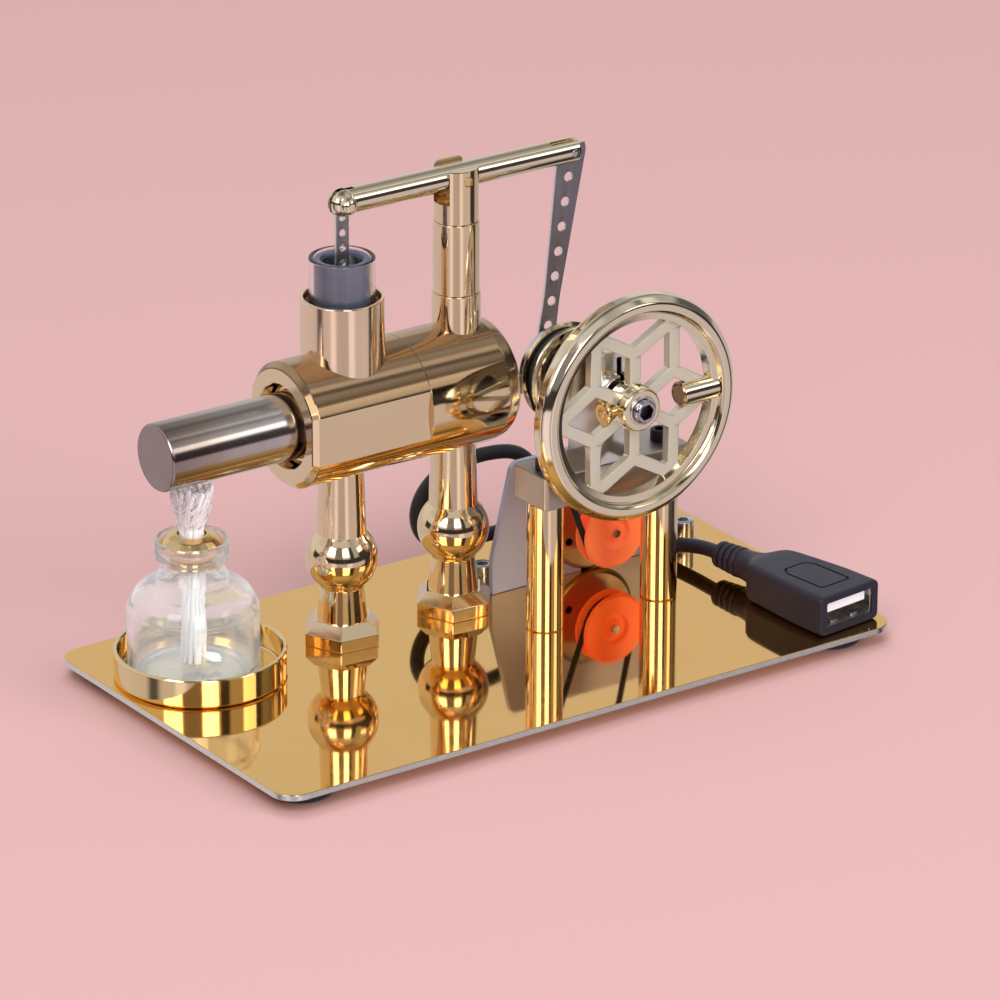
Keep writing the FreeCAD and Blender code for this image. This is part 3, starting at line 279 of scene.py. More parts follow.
def glass(name, colour, smear, ripple=0.0, haze=0.0):
    """Clear glass that lets shadow and diffuse rays straight through."""
    mat = Material(name)
    smudge = mat.noise(scale=160.0, rough=0.6, distort=0.5)
    spots = mat.ramp(smudge, [(0.5, 0.0), (0.8, 1.0)])
    mat.set(Transmission_Weight=1.0, IOR=1.47,
            Base_Color=mat.mix(smudge, colour, shade(colour, 1.02)),
            Roughness=mat.calc("MULTIPLY", spots, smear))
    if ripple:
        waves = mat.noise(scale=95.0, detail=1.5, rough=0.4)
        mat.set(Normal=mat.bump(waves, strength=ripple, distance=0.0006))
    clear = mat.made("ShaderNodeBsdfTransparent", {0: (0.93, 0.96, 0.95)})
    ray = mat.node("ShaderNodeLightPath").outputs
    passes = mat.calc("MAXIMUM", ray["Is Shadow Ray"], ray["Is Diffuse Ray"])
    body = mat.surface.outputs[0]
    if haze:
        milky = mat.made("ShaderNodeBsdfDiffuse", {0: (0.93, 0.94, 0.96)})
        facing = mat.made("ShaderNodeLayerWeight", {0: 0.35}, "Facing")
        amount = mat.calc("MULTIPLY_ADD", facing, haze, haze * 0.6)
        body = mat.blend(amount, body, milky)
    mat.put(mat.output.inputs[0], mat.blend(passes, body, clear))


def graphite():
    """Blue-grey graphite with fine rings round Z."""
    mat = Material("graphite")
    rings = mat.noise(scale=90.0, detail=6.0, rough=0.75, stretch=(1, 1, 45))
    slow = mat.noise(scale=120.0, detail=3.0)
    base = mat.mix(slow, (0.10, 0.116, 0.185), (0.145, 0.165, 0.250))
    marks = mat.ramp(rings, [(0.4, 0.0), (0.7, 0.35)])
    mat.set(Metallic=0.55, Base_Color=mat.mix(marks, base, (0.24, 0.24, 0.32)),
            Roughness=mat.calc("ADD", 0.34, mat.calc("MULTIPLY", rings, 0.16)),
            Normal=mat.bump(rings, strength=0.18, distance=0.00002))


def wick_fibre():
    """White fibre along Z with painted shade between the fibres, a little sooty above z = 50 mm."""
    mat = Material("wick_fibre")
    fibres = mat.noise(scale=3200.0, rough=0.7, stretch=(1, 1, 0.22))
    slow = mat.noise(scale=240.0, detail=3.0)
    base = mat.mix(slow, (0.93, 0.90, 0.94), (0.99, 0.97, 0.99))
    # painted shade: the fibre colour darkens where the fibre bump sinks, between the fibres
    fibre_gap_shade = mat.ramp(fibres, [(0.35, 0.35), (0.6, 0.0)])
    base = mat.mix(fibre_gap_shade, base, (0.80, 0.75, 0.80))
    rise = mat.calc("SUBTRACT", mat.split(mat.coords)[2], 0.0500)
    soot = mat.ramp(mat.calc("DIVIDE", rise, 0.0030, clamp=True), [(0.0, 0.0), (1.0, 0.07)])
    mat.set(Base_Color=mat.mix(soot, base, (0.55, 0.42, 0.36)), Roughness=0.85,
            Sheen_Weight=0.5, Sheen_Roughness=0.4, Subsurface_Weight=0.6,
            Subsurface_Radius=(0.001, 0.001, 0.001), Subsurface_Scale=0.6,
            Normal=mat.bump(fibres, strength=0.5, distance=0.00012))


made_metals = {row[0]: metal(*row) for row in METALS}
# painted shade on the upward faces of the cooling block and the rear housing
paint_shade_on_upper_faces(made_metals["block_brass"])
hot_steel()
made_plastics = {row[0]: plastic(*row) for row in PLASTICS}
# painted light: a faint orange emission makes the generator pulley glow where it sits in shade under
# the housing
made_plastics["orange_plastic"].set(
    Coat_Weight=0.25, Subsurface_Weight=0.15, Subsurface_Radius=(0.001, 0.0006, 0.0004),
    Subsurface_Scale=0.5, Emission_Color=(1.0, 0.14, 0.04), Emission_Strength=0.26)
glass("glass", (0.975, 0.985, 0.985), smear=0.02, ripple=0.02, haze=0.14)
glass("tube_glass", (0.93, 0.955, 0.955), smear=0.01)
graphite()
wick_fibre()


# ---- geometry helpers: a part is (vertices, faces) --------------------------------------
def join(*parts):
    verts, faces = [], []
    for part_verts, part_faces in parts:
        base = len(verts)
        verts += [tuple(p) for p in part_verts]
        faces += [tuple(i + base for i in face) for face in part_faces]
    return verts, faces


def corner_arc(before, corner, after, radius, steps):
    """Points that round one corner; nearly straight corners are left alone."""
    before, after = before - corner, after - corner
    before_length, after_length = before.length, after.length
    if radius <= 0 or before_length < 1e-6 or after_length < 1e-6:
        return [tuple(corner)]
    before, after = before / before_length, after / after_length
    angle = acos(max(-1, min(1, before.dot(after))))
    if angle > radians(176):
        return [tuple(corner)]
    reach = min(radius / tan(angle / 2), 0.49 * before_length, 0.49 * after_length)
    radius = reach * tan(angle / 2)
    centre = corner + (before + after).normalized() * (radius / sin(angle / 2))
    first, last = corner + before * reach - centre, corner + after * reach - centre
    start = atan2(first.y, first.x)
    turned = (atan2(last.y, last.x) - start + pi) % (2 * pi) - pi
    return [(centre.x + radius * cos(start + turned * k / steps),
             centre.y + radius * sin(start + turned * k / steps)) for k in range(steps + 1)]


def fillet(points, steps=5, closed=True):
    """Round the corners of a polyline of (a, b) or (a, b, radius) points."""
    spots = [Vector(p[:2]) for p in points]
    out, count = [], len(points)
    for i, point in enumerate(points):
        rounded = len(point) > 2 and (closed or 0 < i < count - 1)
        out += corner_arc(spots[i - 1], spots[i], spots[(i + 1) % count],
                          point[2] if rounded else 0.0, steps)
    return out


def axes_round(axis):
    """The unit axis and two directions square to it."""
    axis = Vector(axis).normalized()
    guide = Vector(X) if abs(axis.x) < 0.8 else Vector(Y)
    side = (guide - axis * guide.dot(axis)).normalized()
    return axis, side, axis.cross(side)


def lathe(profile, origin, axis, seg, wobble=None):
    """Turn (radius, distance along axis) points; the outline closes unless it meets the axis."""
    origin = Vector(origin)
    axis, side, other = axes_round(axis)
    verts, faces, rings = [], [], []
    for radius, along in profile:
        base = len(verts)
        if radius < 1e-6:
            rings.append([base])
            verts.append(origin + axis * along)
            continue
        rings.append(list(range(base, base + seg)))
        for k in range(seg):
            a = 2 * pi * k / seg
            reach = radius * (wobble(a, radius) if wobble else 1.0)
            verts.append(origin + axis * along + (side * cos(a) + other * sin(a)) * reach)
    count = len(profile)
    is_open = profile[0][0] < 1e-6 or profile[-1][0] < 1e-6
    for i in range(count - 1 if is_open else count):
        ring, after = rings[i], rings[(i + 1) % count]
        if len(ring) == 1 and len(after) == 1:
            continue
        for k in range(seg):
            j = (k + 1) % seg
            if len(ring) == 1:
                faces.append((ring[0], after[k], after[j]))
            elif len(after) == 1:
                faces.append((ring[k], after[0], ring[j]))
            else:
                faces.append((ring[k], after[k], after[j], ring[j]))
    return verts, faces


def turn(points, steps, origin, axis, seg, wobble=None):
    """Lathe an outline of (radius, along, corner radius) points, `steps` per corner."""
    return lathe(fillet(points, steps, closed=points[0][0] > 0), origin, axis, seg, wobble)


def bands(base, rows, count, wrap=False):
    """Quads between consecutive rings of `count` vertices."""
    faces = []
    for i in range(rows if wrap else rows - 1):
        this, after = base + i * count, base + (i + 1) % rows * count
        for k in range(count):
            j = (k + 1) % count
            faces.append((this + k, this + j, after + j, after + k))
    return faces


def loft(sections, closed=False):
    """Skin through sections, capped at both ends or closed into a loop."""
    rows, count = len(sections), len(sections[0])
    faces = bands(0, rows, count, closed)
    if not closed:
        faces += [tuple(range(count)), tuple(range((rows - 1) * count, rows * count))]
    return [tuple(p) for section in sections for p in section], faces


def double_area(loop):
    return sum(loop[i - 1][0] * loop[i][1] - loop[i][0] * loop[i - 1][1]
               for i in range(len(loop)))


def dedupe(loop):
    out = []
    for p in loop:
        if not out or hypot(p[0] - out[-1][0], p[1] - out[-1][1]) > 1e-4:
            out.append((p[0], p[1]))
    if hypot(out[0][0] - out[-1][0], out[0][1] - out[-1][1]) < 1e-4:
        out.pop()
    return out


def inset(loop, distance):
    out = []
    for i, point in enumerate(loop):
        before, here, after = Vector(loop[i - 1]), Vector(point), Vector(loop[(i + 1) % len(loop)])
        edge, following = (here - before).normalized(), (after - here).normalized()
        normal = Vector((-edge.y, edge.x))
        middle = normal + Vector((-following.y, following.x))
        middle = normal if middle.length < 1e-6 else middle.normalized()
        reach = distance / max(0.45, middle.dot(normal))
        out.append((here.x + middle.x * reach, here.y + middle.y * reach))
    return out


def on_xz(x, z, y):
    return x, y, z


def on_xy(x, y, z):
    return x, y, z


def sheet(outer, holes, low, high, place, bevel=0.12, steps=3):
    """Flat piece with holes and rounded edges; place(a, b, level) gives a point."""
    outer = dedupe(outer)
    loops = [outer if double_area(outer) > 0 else outer[::-1]]
    for hole in map(dedupe, holes):
        loops.append(hole if double_area(hole) < 0 else hole[::-1])
    turns = [pi / 2 * k / steps for k in range(steps + 1)]
    curve = [(bevel * (1 - sin(a)), bevel * (1 - cos(a))) for a in turns]
    rows = [(depth, low + rise) for depth, rise in curve]
    rows += [(depth, high - rise) for depth, rise in reversed(curve)]
    verts, faces, ends = [], [], ([], [])
    for loop in loops:
        count, base = len(loop), len(verts)
        for i, (depth, level) in enumerate(rows):
            ring = inset(loop, depth) if depth > 1e-9 else loop
            verts += [tuple(place(a, b, level)) for a, b in ring]
            if i in (0, len(rows) - 1):
                ends[i > 0].append((ring, base + i * count))
        faces += bands(base, len(rows), count)
    for end in ends:
        flat = [[Vector((*p, 0)) for p in ring] for ring, _ in end]
        ids = [base + k for ring, base in end for k in range(len(ring))]
        faces += [tuple(ids[i] for i in face) for face in tessellate_polygon(flat)]
    return verts, faces


def circle(x, y, radius, count):
    return [(x + radius * cos(2 * pi * k / count), y + radius * sin(2 * pi * k / count))
            for k in range(count)]


def rect(x0, x1, y0, y1, radius, steps):
    return fillet([(x0, y0, radius), (x1, y0, radius), (x1, y1, radius), (x0, y1, radius)], steps)


def sweep(path, radius, sides, closed=False, fixed=None, taper=None):
    """Round tube along a path; `fixed` is a direction square to a flat path."""
    spots = [Vector(p) for p in path]
    count = len(spots)
    tangents = []
    for i in range(count):
        before = spots[i - 1] if (i > 0 or closed) else spots[i]
        after = spots[(i + 1) % count] if (i < count - 1 or closed) else spots[i]
        tangents.append((after - before).normalized())
    normal = axes_round(tangents[0])[1]
    sections = []
    for i, (spot, tangent) in enumerate(zip(spots, tangents)):
        if fixed:
            normal = Vector(fixed).cross(tangent).normalized()
            other = Vector(fixed)
        else:
            normal = (normal - tangent * normal.dot(tangent)).normalized()
            other = tangent.cross(normal)
        scale = taper(i / (count - 1)) if taper else 1.0
        angles = [2 * pi * k / sides for k in range(sides)]
        sections.append([spot + normal * (cos(a) * radius * scale)
                         + other * (sin(a) * radius * scale) for a in angles])
    return loft(sections, closed)


def spline(points, per):
    """Natural cubic through the points by chord length, `per` steps to a span."""
    spots = [Vector(p) for p in points]
    count = len(spots)
    gap = [(after - before).length for before, after in zip(spots, spots[1:])]
    axes = []
    for place in zip(*spots):
        slope = [(place[i + 1] - place[i]) / gap[i] for i in range(count - 1)]
        ratio, part, bend = [0.0] * count, [0.0] * count, [0.0] * count
        for i in range(1, count - 1):
            pivot = 2 * (gap[i - 1] + gap[i]) - gap[i - 1] * ratio[i - 1]
            ratio[i] = gap[i] / pivot
            part[i] = (3 * (slope[i] - slope[i - 1]) - gap[i - 1] * part[i - 1]) / pivot
        for i in range(count - 2, -1, -1):
            bend[i] = part[i] - ratio[i] * bend[i + 1]
        values = []
        for i in range(count - 1):
            rate = slope[i] - gap[i] * (bend[i + 1] + 2 * bend[i]) / 3
            cubic = (bend[i + 1] - bend[i]) / (3 * gap[i])
            for k in range(per):
                along = gap[i] * k / per
                values.append(place[i] + rate * along + bend[i] * along ** 2 + cubic * along ** 3)
        axes.append(values + [place[-1]])
    return [Vector(p) for p in zip(*axes)]


def cylinder(radius, start, end, seg):
    span = Vector(end) - Vector(start)
    return lathe([(0, 0), (radius, 0), (radius, span.length), (0, span.length)], start, span, seg)


def across(radius, x, z, y0, y1, seg):
    """Cylinder along Y."""
    return cylinder(radius, (x, y0, z), (x, y1, z), seg)


def box(x0, x1, y0, y1, z0, z1):
    return loft([[(x0, y0, z), (x1, y0, z), (x1, y1, z), (x0, y1, z)] for z in (z0, z1)])


def socket_screw(origin, axis, radius, height, depth, shank_length,
                 flats=2.5, knurl=0.02, chamfer=0.3, shank=1.45):
    """Cap screw: head from origin along axis, hexagonal socket in its end, shank behind."""
    axis, side, other = axes_round(axis)
    origin = Vector(origin)

    def ring(level, radius_at):
        angles = [2 * pi * k / 72 for k in range(72)]
        return [origin + axis * level + (side * cos(a) + other * sin(a)) * radius_at(a)
                for a in angles]

    def hexagon(a):
        off = (a - radians(10) + pi / 6) % (pi / 3) - pi / 6
        return flats / 2 / cos(pi / 6 - abs(off))

    # radius, level, knurl depth
    rounds = [(shank * 0.85, -shank_length, 0), (shank, -shank_length + 0.2, 0),
              (shank, -0.001, 0), (radius - 0.12, 0, 0), (radius, 0.14, knurl),
              (radius, height - chamfer, knurl),
              (radius - chamfer * 0.35, height - chamfer * 0.45, 0), (radius - chamfer, height, 0)]
    # scale, growth, level
    hexes = [(1, 0.16, height), (1, 0, height - 0.14), (1, 0, height - depth),
             (0.5, 0, height - depth - 0.12)]
    return loft([ring(level, lambda a: size * (1 + cut * (0.5 + 0.5 * cos(36 * a)) - cut))
                 for size, level, cut in rounds]
                + [ring(level, lambda a: hexagon(a) * scale + grow)
                   for scale, grow, level in hexes])


# ---- objects ---------------------------------------------------------------------------
def raw(name, part):
    mesh = bpy.data.meshes.new(name)
    bm = bmesh.new()
    verts = [bm.verts.new((p[0] * MM, p[1] * MM, p[2] * MM)) for p in part[0]]
    for face in part[1]:
        try:
            bm.faces.new([verts[i] for i in face])
        except ValueError:      # guards against a repeated face or a repeated corner
            pass
    bmesh.ops.remove_doubles(bm, verts=bm.verts, dist=2e-7)
    bmesh.ops.dissolve_degenerate(bm, edges=bm.edges, dist=1e-7)
    bmesh.ops.recalc_face_normals(bm, faces=bm.faces)
    bm.to_mesh(mesh)
    bm.free()
    obj = bpy.data.objects.new(name, mesh)
    bpy.context.scene.collection.objects.link(obj)
    return obj


def boolean(obj, parts, operation="DIFFERENCE"):
    """Cut or add closed parts, and keep the evaluated result as the mesh."""
    tools = []
    for i, part in enumerate(parts):
        tool = raw("tmp_cut_%d" % i, part)
        modifier = obj.modifiers.new("b%d" % i, "BOOLEAN")
        modifier.operation, modifier.solver, modifier.object = operation, "EXACT", tool
        tools.append(tool)
    bpy.context.view_layer.update()
    graph = bpy.context.evaluated_depsgraph_get()
    mesh = bpy.data.meshes.new_from_object(obj.evaluated_get(graph))
    obj.modifiers.clear()
    old, obj.data = obj.data, mesh
    bpy.data.meshes.remove(old)
    for tool in tools:
        mesh = tool.data
        bpy.data.objects.remove(tool)
        bpy.data.meshes.remove(mesh)


def finish(obj, look, node=None, body="engine_frame", slot=None, sharp=30, normals=True,
           side=None):
    """Shade a piece, attach it to its body and hide the CAD node it replaces; slot is not used.

    side is (material, axis): faces not square to that axis take that material.
    """
    mesh = obj.data
    mesh.materials.clear()
    mesh.materials.append(MATERIALS[look])
    if side:
        mesh.materials.append(MATERIALS[side[0]])
        for face in mesh.polygons:
            face.material_index = 1 if abs(face.normal[side[1]]) < 0.6 else 0
    for face in mesh.polygons:
        face.use_smooth = True
    mesh.set_sharp_from_angle(angle=radians(sharp))
    if normals:
        modifier = obj.modifiers.new("normals", "WEIGHTED_NORMAL")
        modifier.keep_sharp, modifier.weight = True, 60
    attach(obj, body)
    if node:
        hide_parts(node)


def piece(name, part, look, node=None, body="engine_frame", add=(), cuts=(), **options):
    obj = raw(name, part)
    for extra in add:
        boolean(obj, [extra], "UNION")
    if cuts:
        boolean(obj, cuts)
    finish(obj, look, node, body, **options)
    return obj


def second_material(obj, look, chosen):
    """Give a second material to faces whose (distance from the crank axis, y) is chosen."""
    obj.data.materials.append(MATERIALS[look])
    for face in obj.data.polygons:
        spot = face.center / MM
        if chosen(hypot(spot.x - CRANK_X, spot.z - CRANK_Z), spot.y):
            face.material_index = 1


# ---- base ------------------------------------------------------------------------------
piece("plate_finish",
      sheet(rect(-85.95, 85.95, -48.9, 48.9, 6.0, 14),
            [circle(x, y, 1.65, 24) for x, y in LOWER_SCREWS + BRACKET_BOLTS],
            UNDERSIDE, TOP, on_xy, 0.22),
      "gold_plate", "base_plate", side=("cut_edge", 2))
FOOT = [(0, 0.5), (3.0, 0.5, 0.2), (3.4, 0, 0.3), (7.1, 0, 0.5), (7.75, 0.8, 0.6), (8.0, 3.0, 0.3),
        (7.9, UNDERSIDE), (0, UNDERSIDE)]
piece("feet_finish", join(*[turn(FOOT, 4, (x, y, 0), Z, 72)
                            for x in (-74.5, 74.5) for y in (-37.5, 37.5)]),
      "rubber", "rubber_feet")

# ---- legs: hexagonal foot, ball and cone, cut to fit under the cylinder -----------------
BALL_Z, BALL_R = TOP + 20.7, 8.5
# height above the plate, width across flats, corner radius
LEG_FOOT = [(0, 16.8, 0.35), (0.12, 17.05, 0.35), (0.25, 17.1, 0.35), (2.85, 17.1, 0.35),
            (3.02, 17.0, 0.35), (3.14, 16.8, 0.35), (5.45, 12.9, 0.3), (5.58, 12.5, 0.3),
            (5.6, 12.0, 0.3)]


def leg(name, leg_x, node):
    profile = [(0, TOP + 4.0), (6.05, TOP + 4.0), (5.93, TOP + 6.0), (5.15, BALL_Z - 7.3),
               (5.2, BALL_Z - 7.05), (5.35, BALL_Z - 6.72)]
    low, high = asin(-6.55 / BALL_R), asin(6.05 / BALL_R)
    for k in range(1, 30):
        a = low + (high - low) * k / 30
        profile.append((BALL_R * cos(a), BALL_Z + BALL_R * sin(a)))
    profile += [(6.02, BALL_Z + 6.12), (5.86, BALL_Z + 6.35), (5.82, BALL_Z + 6.7),
                (5.2, AXIS_Z - 11.8), (0, AXIS_Z - 11.8)]
    foot = []
    for height, flats, radius in LEG_FOOT:
        reach = flats / sqrt(3)
        angles = [radians(234.9 + 60 * k) for k in range(6)]
        outline = fillet([(reach * cos(a), reach * sin(a), radius) for a in angles], 4)
        foot.append([(x + leg_x, y + AXIS_Y, TOP + height) for x, y in outline])
    bore = cylinder(BLOCK_R + 0.01, (BLOCK_LEFT - 5, AXIS_Y, AXIS_Z),
                    (REAR_END + 5, AXIS_Y, AXIS_Z), 160)
    piece(name, lathe(profile, (leg_x, AXIS_Y, 0), Z, 128), "gold_brass", node,
          add=[loft(foot)], cuts=[bore], sharp=24)


leg("block_leg_finish", LEG_X[0], "cooling_block_leg")
leg("housing_leg_finish", LEG_X[1], "rear_housing_leg")


# ---- horizontal cylinder -----------------------------------------------------------------
def flatted(radius, flat):
    """(y, z) outline of a circle with flats at y = -flat and y = +flat."""
    edge = acos(min(1, flat / radius))
    half = radius * sin(edge)
    out = []
    for side, start in ((-1, 0), (1, pi)):
        for k in range(61):
            a = start + edge + (pi - 2 * edge) * k / 60
            out.append((radius * cos(a), radius * sin(a)))
        out += [(side * flat, -side * (half - 2 * half * k / 10)) for k in range(1, 10)]
    return out


# x, radius and, where the section has flats, centre to flat
BLOCK_STATIONS = [
    (-13, 2.0), (-13, 7.2), (-30, 7.2), (-30, 8.02), (-37, 8.02), (-37, 9.7), (-37.3, 10.0),
    (-41.75, 10.0), (-42, 10.25), (-42, BLOCK_R - 1.5, FLAT - 1.45),
    (-41.85, BLOCK_R - 1.2, FLAT - 1.15), (-40.75, BLOCK_R - 0.12, FLAT - 0.12),
    (-40.5, BLOCK_R, FLAT), (-10.12, BLOCK_R, FLAT), (-10.0, BLOCK_R - 0.12, FLAT - 0.12),
    (-10, 2.0)]


def block_section(x, radius, flat=None):
    if flat:
        outline = flatted(radius, flat)
    else:
        angles = [atan2(z, y) for y, z in flatted(BLOCK_R, FLAT)]
        outline = [(radius * cos(a), radius * sin(a)) for a in angles]
    return [(x, AXIS_Y + y, AXIS_Z + z) for y, z in outline]


SLEEVE_BORE = [(0, TOP + 66.6), (9.82, TOP + 66.6), (9.82, TOP + 90), (0, TOP + 90)]
piece("block_finish", loft([block_section(*station) for station in BLOCK_STATIONS]),
      "block_brass", "cooling_block", slot="gold_brass", sharp=12,
      cuts=[lathe(SLEEVE_BORE, (POWER_X, AXIS_Y, 0), Z, 160)])

HOT_TUBE = [(0, -76.3), (7.55, -76.3, 0.5), (8.0, -75.8, 0.3), (8.0, -30.0), (7.2, -30.0),
            (7.2, -75.5, 0.3), (0, -75.5)]
piece("hot_tube_finish", turn(HOT_TUBE, 4, MAIN, X, 160), "hot_steel", "hot_tube")
GLAND = [(8.06, -37.02), (9.62, -37.02), (9.62, -38.6, 0.35), (8.9, -39.0, 0.3),
         (8.06, -39.0, 0.2)]
piece("gland_ring", turn(GLAND, 4, MAIN, X, 144), "gold_brass")
REAR_HOUSING = [
    (2.0, -9.98), (14.9, -9.98, 0.05), (15.0, -9.8, 0.1), (15.0, 11.8, 3.0), (14.2, 14.9, 2.2),
    (12.6, 16.1, 0.8), (11.5, REAR_END, 0.2), (10.2, REAR_END, 0.2), (10.0, 16.0),
    (10.0, -6.9, 0.3), (2.0, -6.9)]
piece("rear_housing_finish", turn(REAR_HOUSING, 6, MAIN, X, 160), "block_brass",
      "rear_housing", slot="gold_brass")

# ---- power cylinder: heights above the plate ------------------------------------------------
SLEEVE = [(7.75, 66.6), (9.8, 66.6), (9.8, 85.2, 0.35), (9.05, 85.2, 0.2), (8.9, 84.9),
          (8.9, 82.0), (7.75, 82.0)]
piece("sleeve_finish", turn(SLEEVE, 4, POWER, Z, 160), "rose_gold", "power_sleeve")
SEAL = [(7.74, 82.03), (8.86, 82.03), (8.86, 83.7, 0.2), (8.4, 84.1, 0.2), (7.74, 84.1, 0.1)]
piece("seal_finish", turn(SEAL, 3, POWER, Z, 128), "seal_rubber", "sleeve_seal_ring",
      slot="rubber")
GLASS_TUBE = [(6.56, 66.6), (7.7, 66.6), (7.7, 94.7, 0.35), (6.56, 94.7, 0.35)]
piece("cylinder_glass", turn(GLASS_TUBE, 5, POWER, Z, 128), "tube_glass", "glass_cylinder",
      slot="glass", sharp=50)
PISTON_TOP, CUP = 94.3, 86.0                 # rim and cup floor of the piston
PISTON = [(0, 79.3), (6.49, 79.3, 0.4), (6.49, PISTON_TOP, 0.45), (5.1, PISTON_TOP, 0.4),
          (4.9, PISTON_TOP - 0.6, 0.2), (4.9, CUP, 0.5), (0, CUP)]
piece("piston_finish", turn(PISTON, 5, POWER, Z, 128), "graphite", "power_piston", "piston")

LINK_LENGTH = 18.1
PISTON_PIN_Z = BEAM_Z - LINK_LENGTH


def yoke():
    """Disc on the cup floor, two ears for the pin and a liner inside the cup."""
    disc = [(0, CUP + 0.02), (3.8, CUP + 0.02, 0.1), (3.8, CUP + 1.0, 0.25), (0, CUP + 1.0)]
    parts = [turn(disc, 3, POWER, Z, 64)]
    ear = [(POWER_X + 1.8 * cos(radians(a)), PISTON_PIN_Z + 1.8 * sin(radians(a)))
           for a in range(0, 181, 12)]
    ear += [(POWER_X - 1.8, TOP + CUP + 0.9), (POWER_X + 1.8, TOP + CUP + 0.9)]
    for low, high in ((-2.1, -1.0), (1.0, 2.1)):
        parts.append(sheet(ear, [circle(POWER_X, PISTON_PIN_Z, 0.72, 20)],
                           AXIS_Y + low, AXIS_Y + high, on_xz, 0.12, 2))
    liner = [(4.7, CUP + 0.1), (4.88, CUP + 0.1), (4.88, PISTON_TOP - 1.0),
             (4.7, PISTON_TOP - 1.0, 0.05)]
    return join(*parts, turn(liner, 2, POWER, Z, 96))


piece("yoke_finish", yoke(), "thin_steel", "piston_yoke", "piston")


# ---- straps --------------------------------------------------------------------------------
def square_top(outline, top):
    """Cut the upper end of an outline square at z = top."""
    level = top - 0.3
    start = next(k for k in range(len(outline))
                 if outline[k][1] >= level > outline[k - 1][1])
    rolled = outline[start:] + outline[:start]
    kept = rolled[sum(p[1] >= level for p in rolled):]
    first, last = kept[0], kept[-1]
    return kept + fillet([last, (last[0], top, 0.7), (first[0], top, 0.7), first], 4, False)[1:-1]


def strap(node, start, end, widths, front, holes, top=None):
    """Flat strap between two (x, z) eyes.

    widths: at the start, at 0.62 of the length, and at the end.
    holes: (distance from the start, radius).
    """
    first, middle, last = widths
    length = hypot(end[0] - start[0], end[1] - start[1])
    along_x, along_z = (end[0] - start[0]) / length, (end[1] - start[1]) / length
    lean = atan2(along_z, along_x)

    def at(along, out=0):
        return (start[0] + along_x * along - along_z * out,
                start[1] + along_z * along + along_x * out)

    def eye(centre, radius, first_angle):
        angles = [first_angle + pi * k / 24 for k in range(25)]
        return [(centre[0] + radius * cos(a), centre[1] + radius * sin(a)) for a in angles]

    def edge(side):
        return fillet([at(0, side * first / 2), (*at(length * 0.62, side * middle / 2), 40.0),
                       at(length, side * last / 2)], 8, False)[1:-1]

    outline = (eye(start, first / 2, lean + pi / 2) + edge(-1)
               + eye(end, last / 2, lean - pi / 2) + edge(1)[::-1])
    if top is not None:
        outline = square_top(outline, top)
    part = sheet(outline, [circle(*at(along), radius, 28) for along, radius in holes],
                 front, front + STRIP, on_xz, 0.13)
    piece(node + "_finish", part, "dark_steel", node, node, side=("cut_edge", 1))


LINK_Y = AXIS_Y - STRIP / 2
strap("piston_link", (POWER_X, BEAM_Z), (POWER_X, PISTON_PIN_Z), (3.5, 3.5, 4.0), LINK_Y,
      [(0, 0.86)] + [(3.62 * k, 0.85) for k in (1, 2, 3, 4)] + [(LINK_LENGTH, 1.35)])
strap("connecting_rod", (BEAM_RIGHT, BEAM_Z), (PIN_X, PIN_Z), (8.0, 4.4, 5.8), ROD_Y,
      [(0, 0.86)] + [(6.05 * k, 1.15) for k in range(1, 9)] + [(57.47, 1.0)], top=BEAM_Z + 1.75)
FORK_X = PIN_X - sqrt(26.0 ** 2 - (AXIS_Z - PIN_Z) ** 2)
strap("displacer_link", (FORK_X, AXIS_Z), (PIN_X, PIN_Z), (4.0, 3.2, 4.6), LINK_Y,
      [(0, 0.86), (6.5, 0.8), (13, 0.8), (19.5, 0.8), (26.0, 1.02)])

END_SCREW = [(0, LINK_Y - 0.05), (1.0, LINK_Y - 0.05), (1.0, LINK_Y + 0.83),
             (2.0, LINK_Y + 0.83, 0.1), (2.0, LINK_Y + 1.5, 0.35), (1.3, LINK_Y + 2.1, 0.3),
             (0, LINK_Y + 2.1)]
piece("crank_end_screw_finish", turn(END_SCREW, 4, (PIN_X, 0, PIN_Z), Y, 48), "silver",
      "crank_end_screw", "displacer_link",
      cuts=[box(PIN_X - 3, PIN_X + 3, LINK_Y + 1.5, LINK_Y + 3, PIN_Z - 0.28, PIN_Z + 0.28)])
ROD_FORK = [(0, FORK_X - 6), (2.2, FORK_X - 6, 0.3), (3.0, FORK_X - 4, 0.8),
            (3.0, FORK_X + 2.6, 0.4), (0, FORK_X + 2.6)]
piece("displacer_fork_finish", turn(ROD_FORK, 4, MAIN, X, 64), "thin_steel",
      "displacer_fork", "displacer",
      cuts=[box(FORK_X - 3, FORK_X + 4, AXIS_Y - 0.6, AXIS_Y + 0.6, AXIS_Z - 5, AXIS_Z + 5),
            cylinder(1.22, (FORK_X - 7, AXIS_Y, AXIS_Z), (FORK_X - 2.9, AXIS_Y, AXIS_Z), 32),
            across(0.82, FORK_X, AXIS_Z, AXIS_Y - 5, AXIS_Y + 5, 24)])

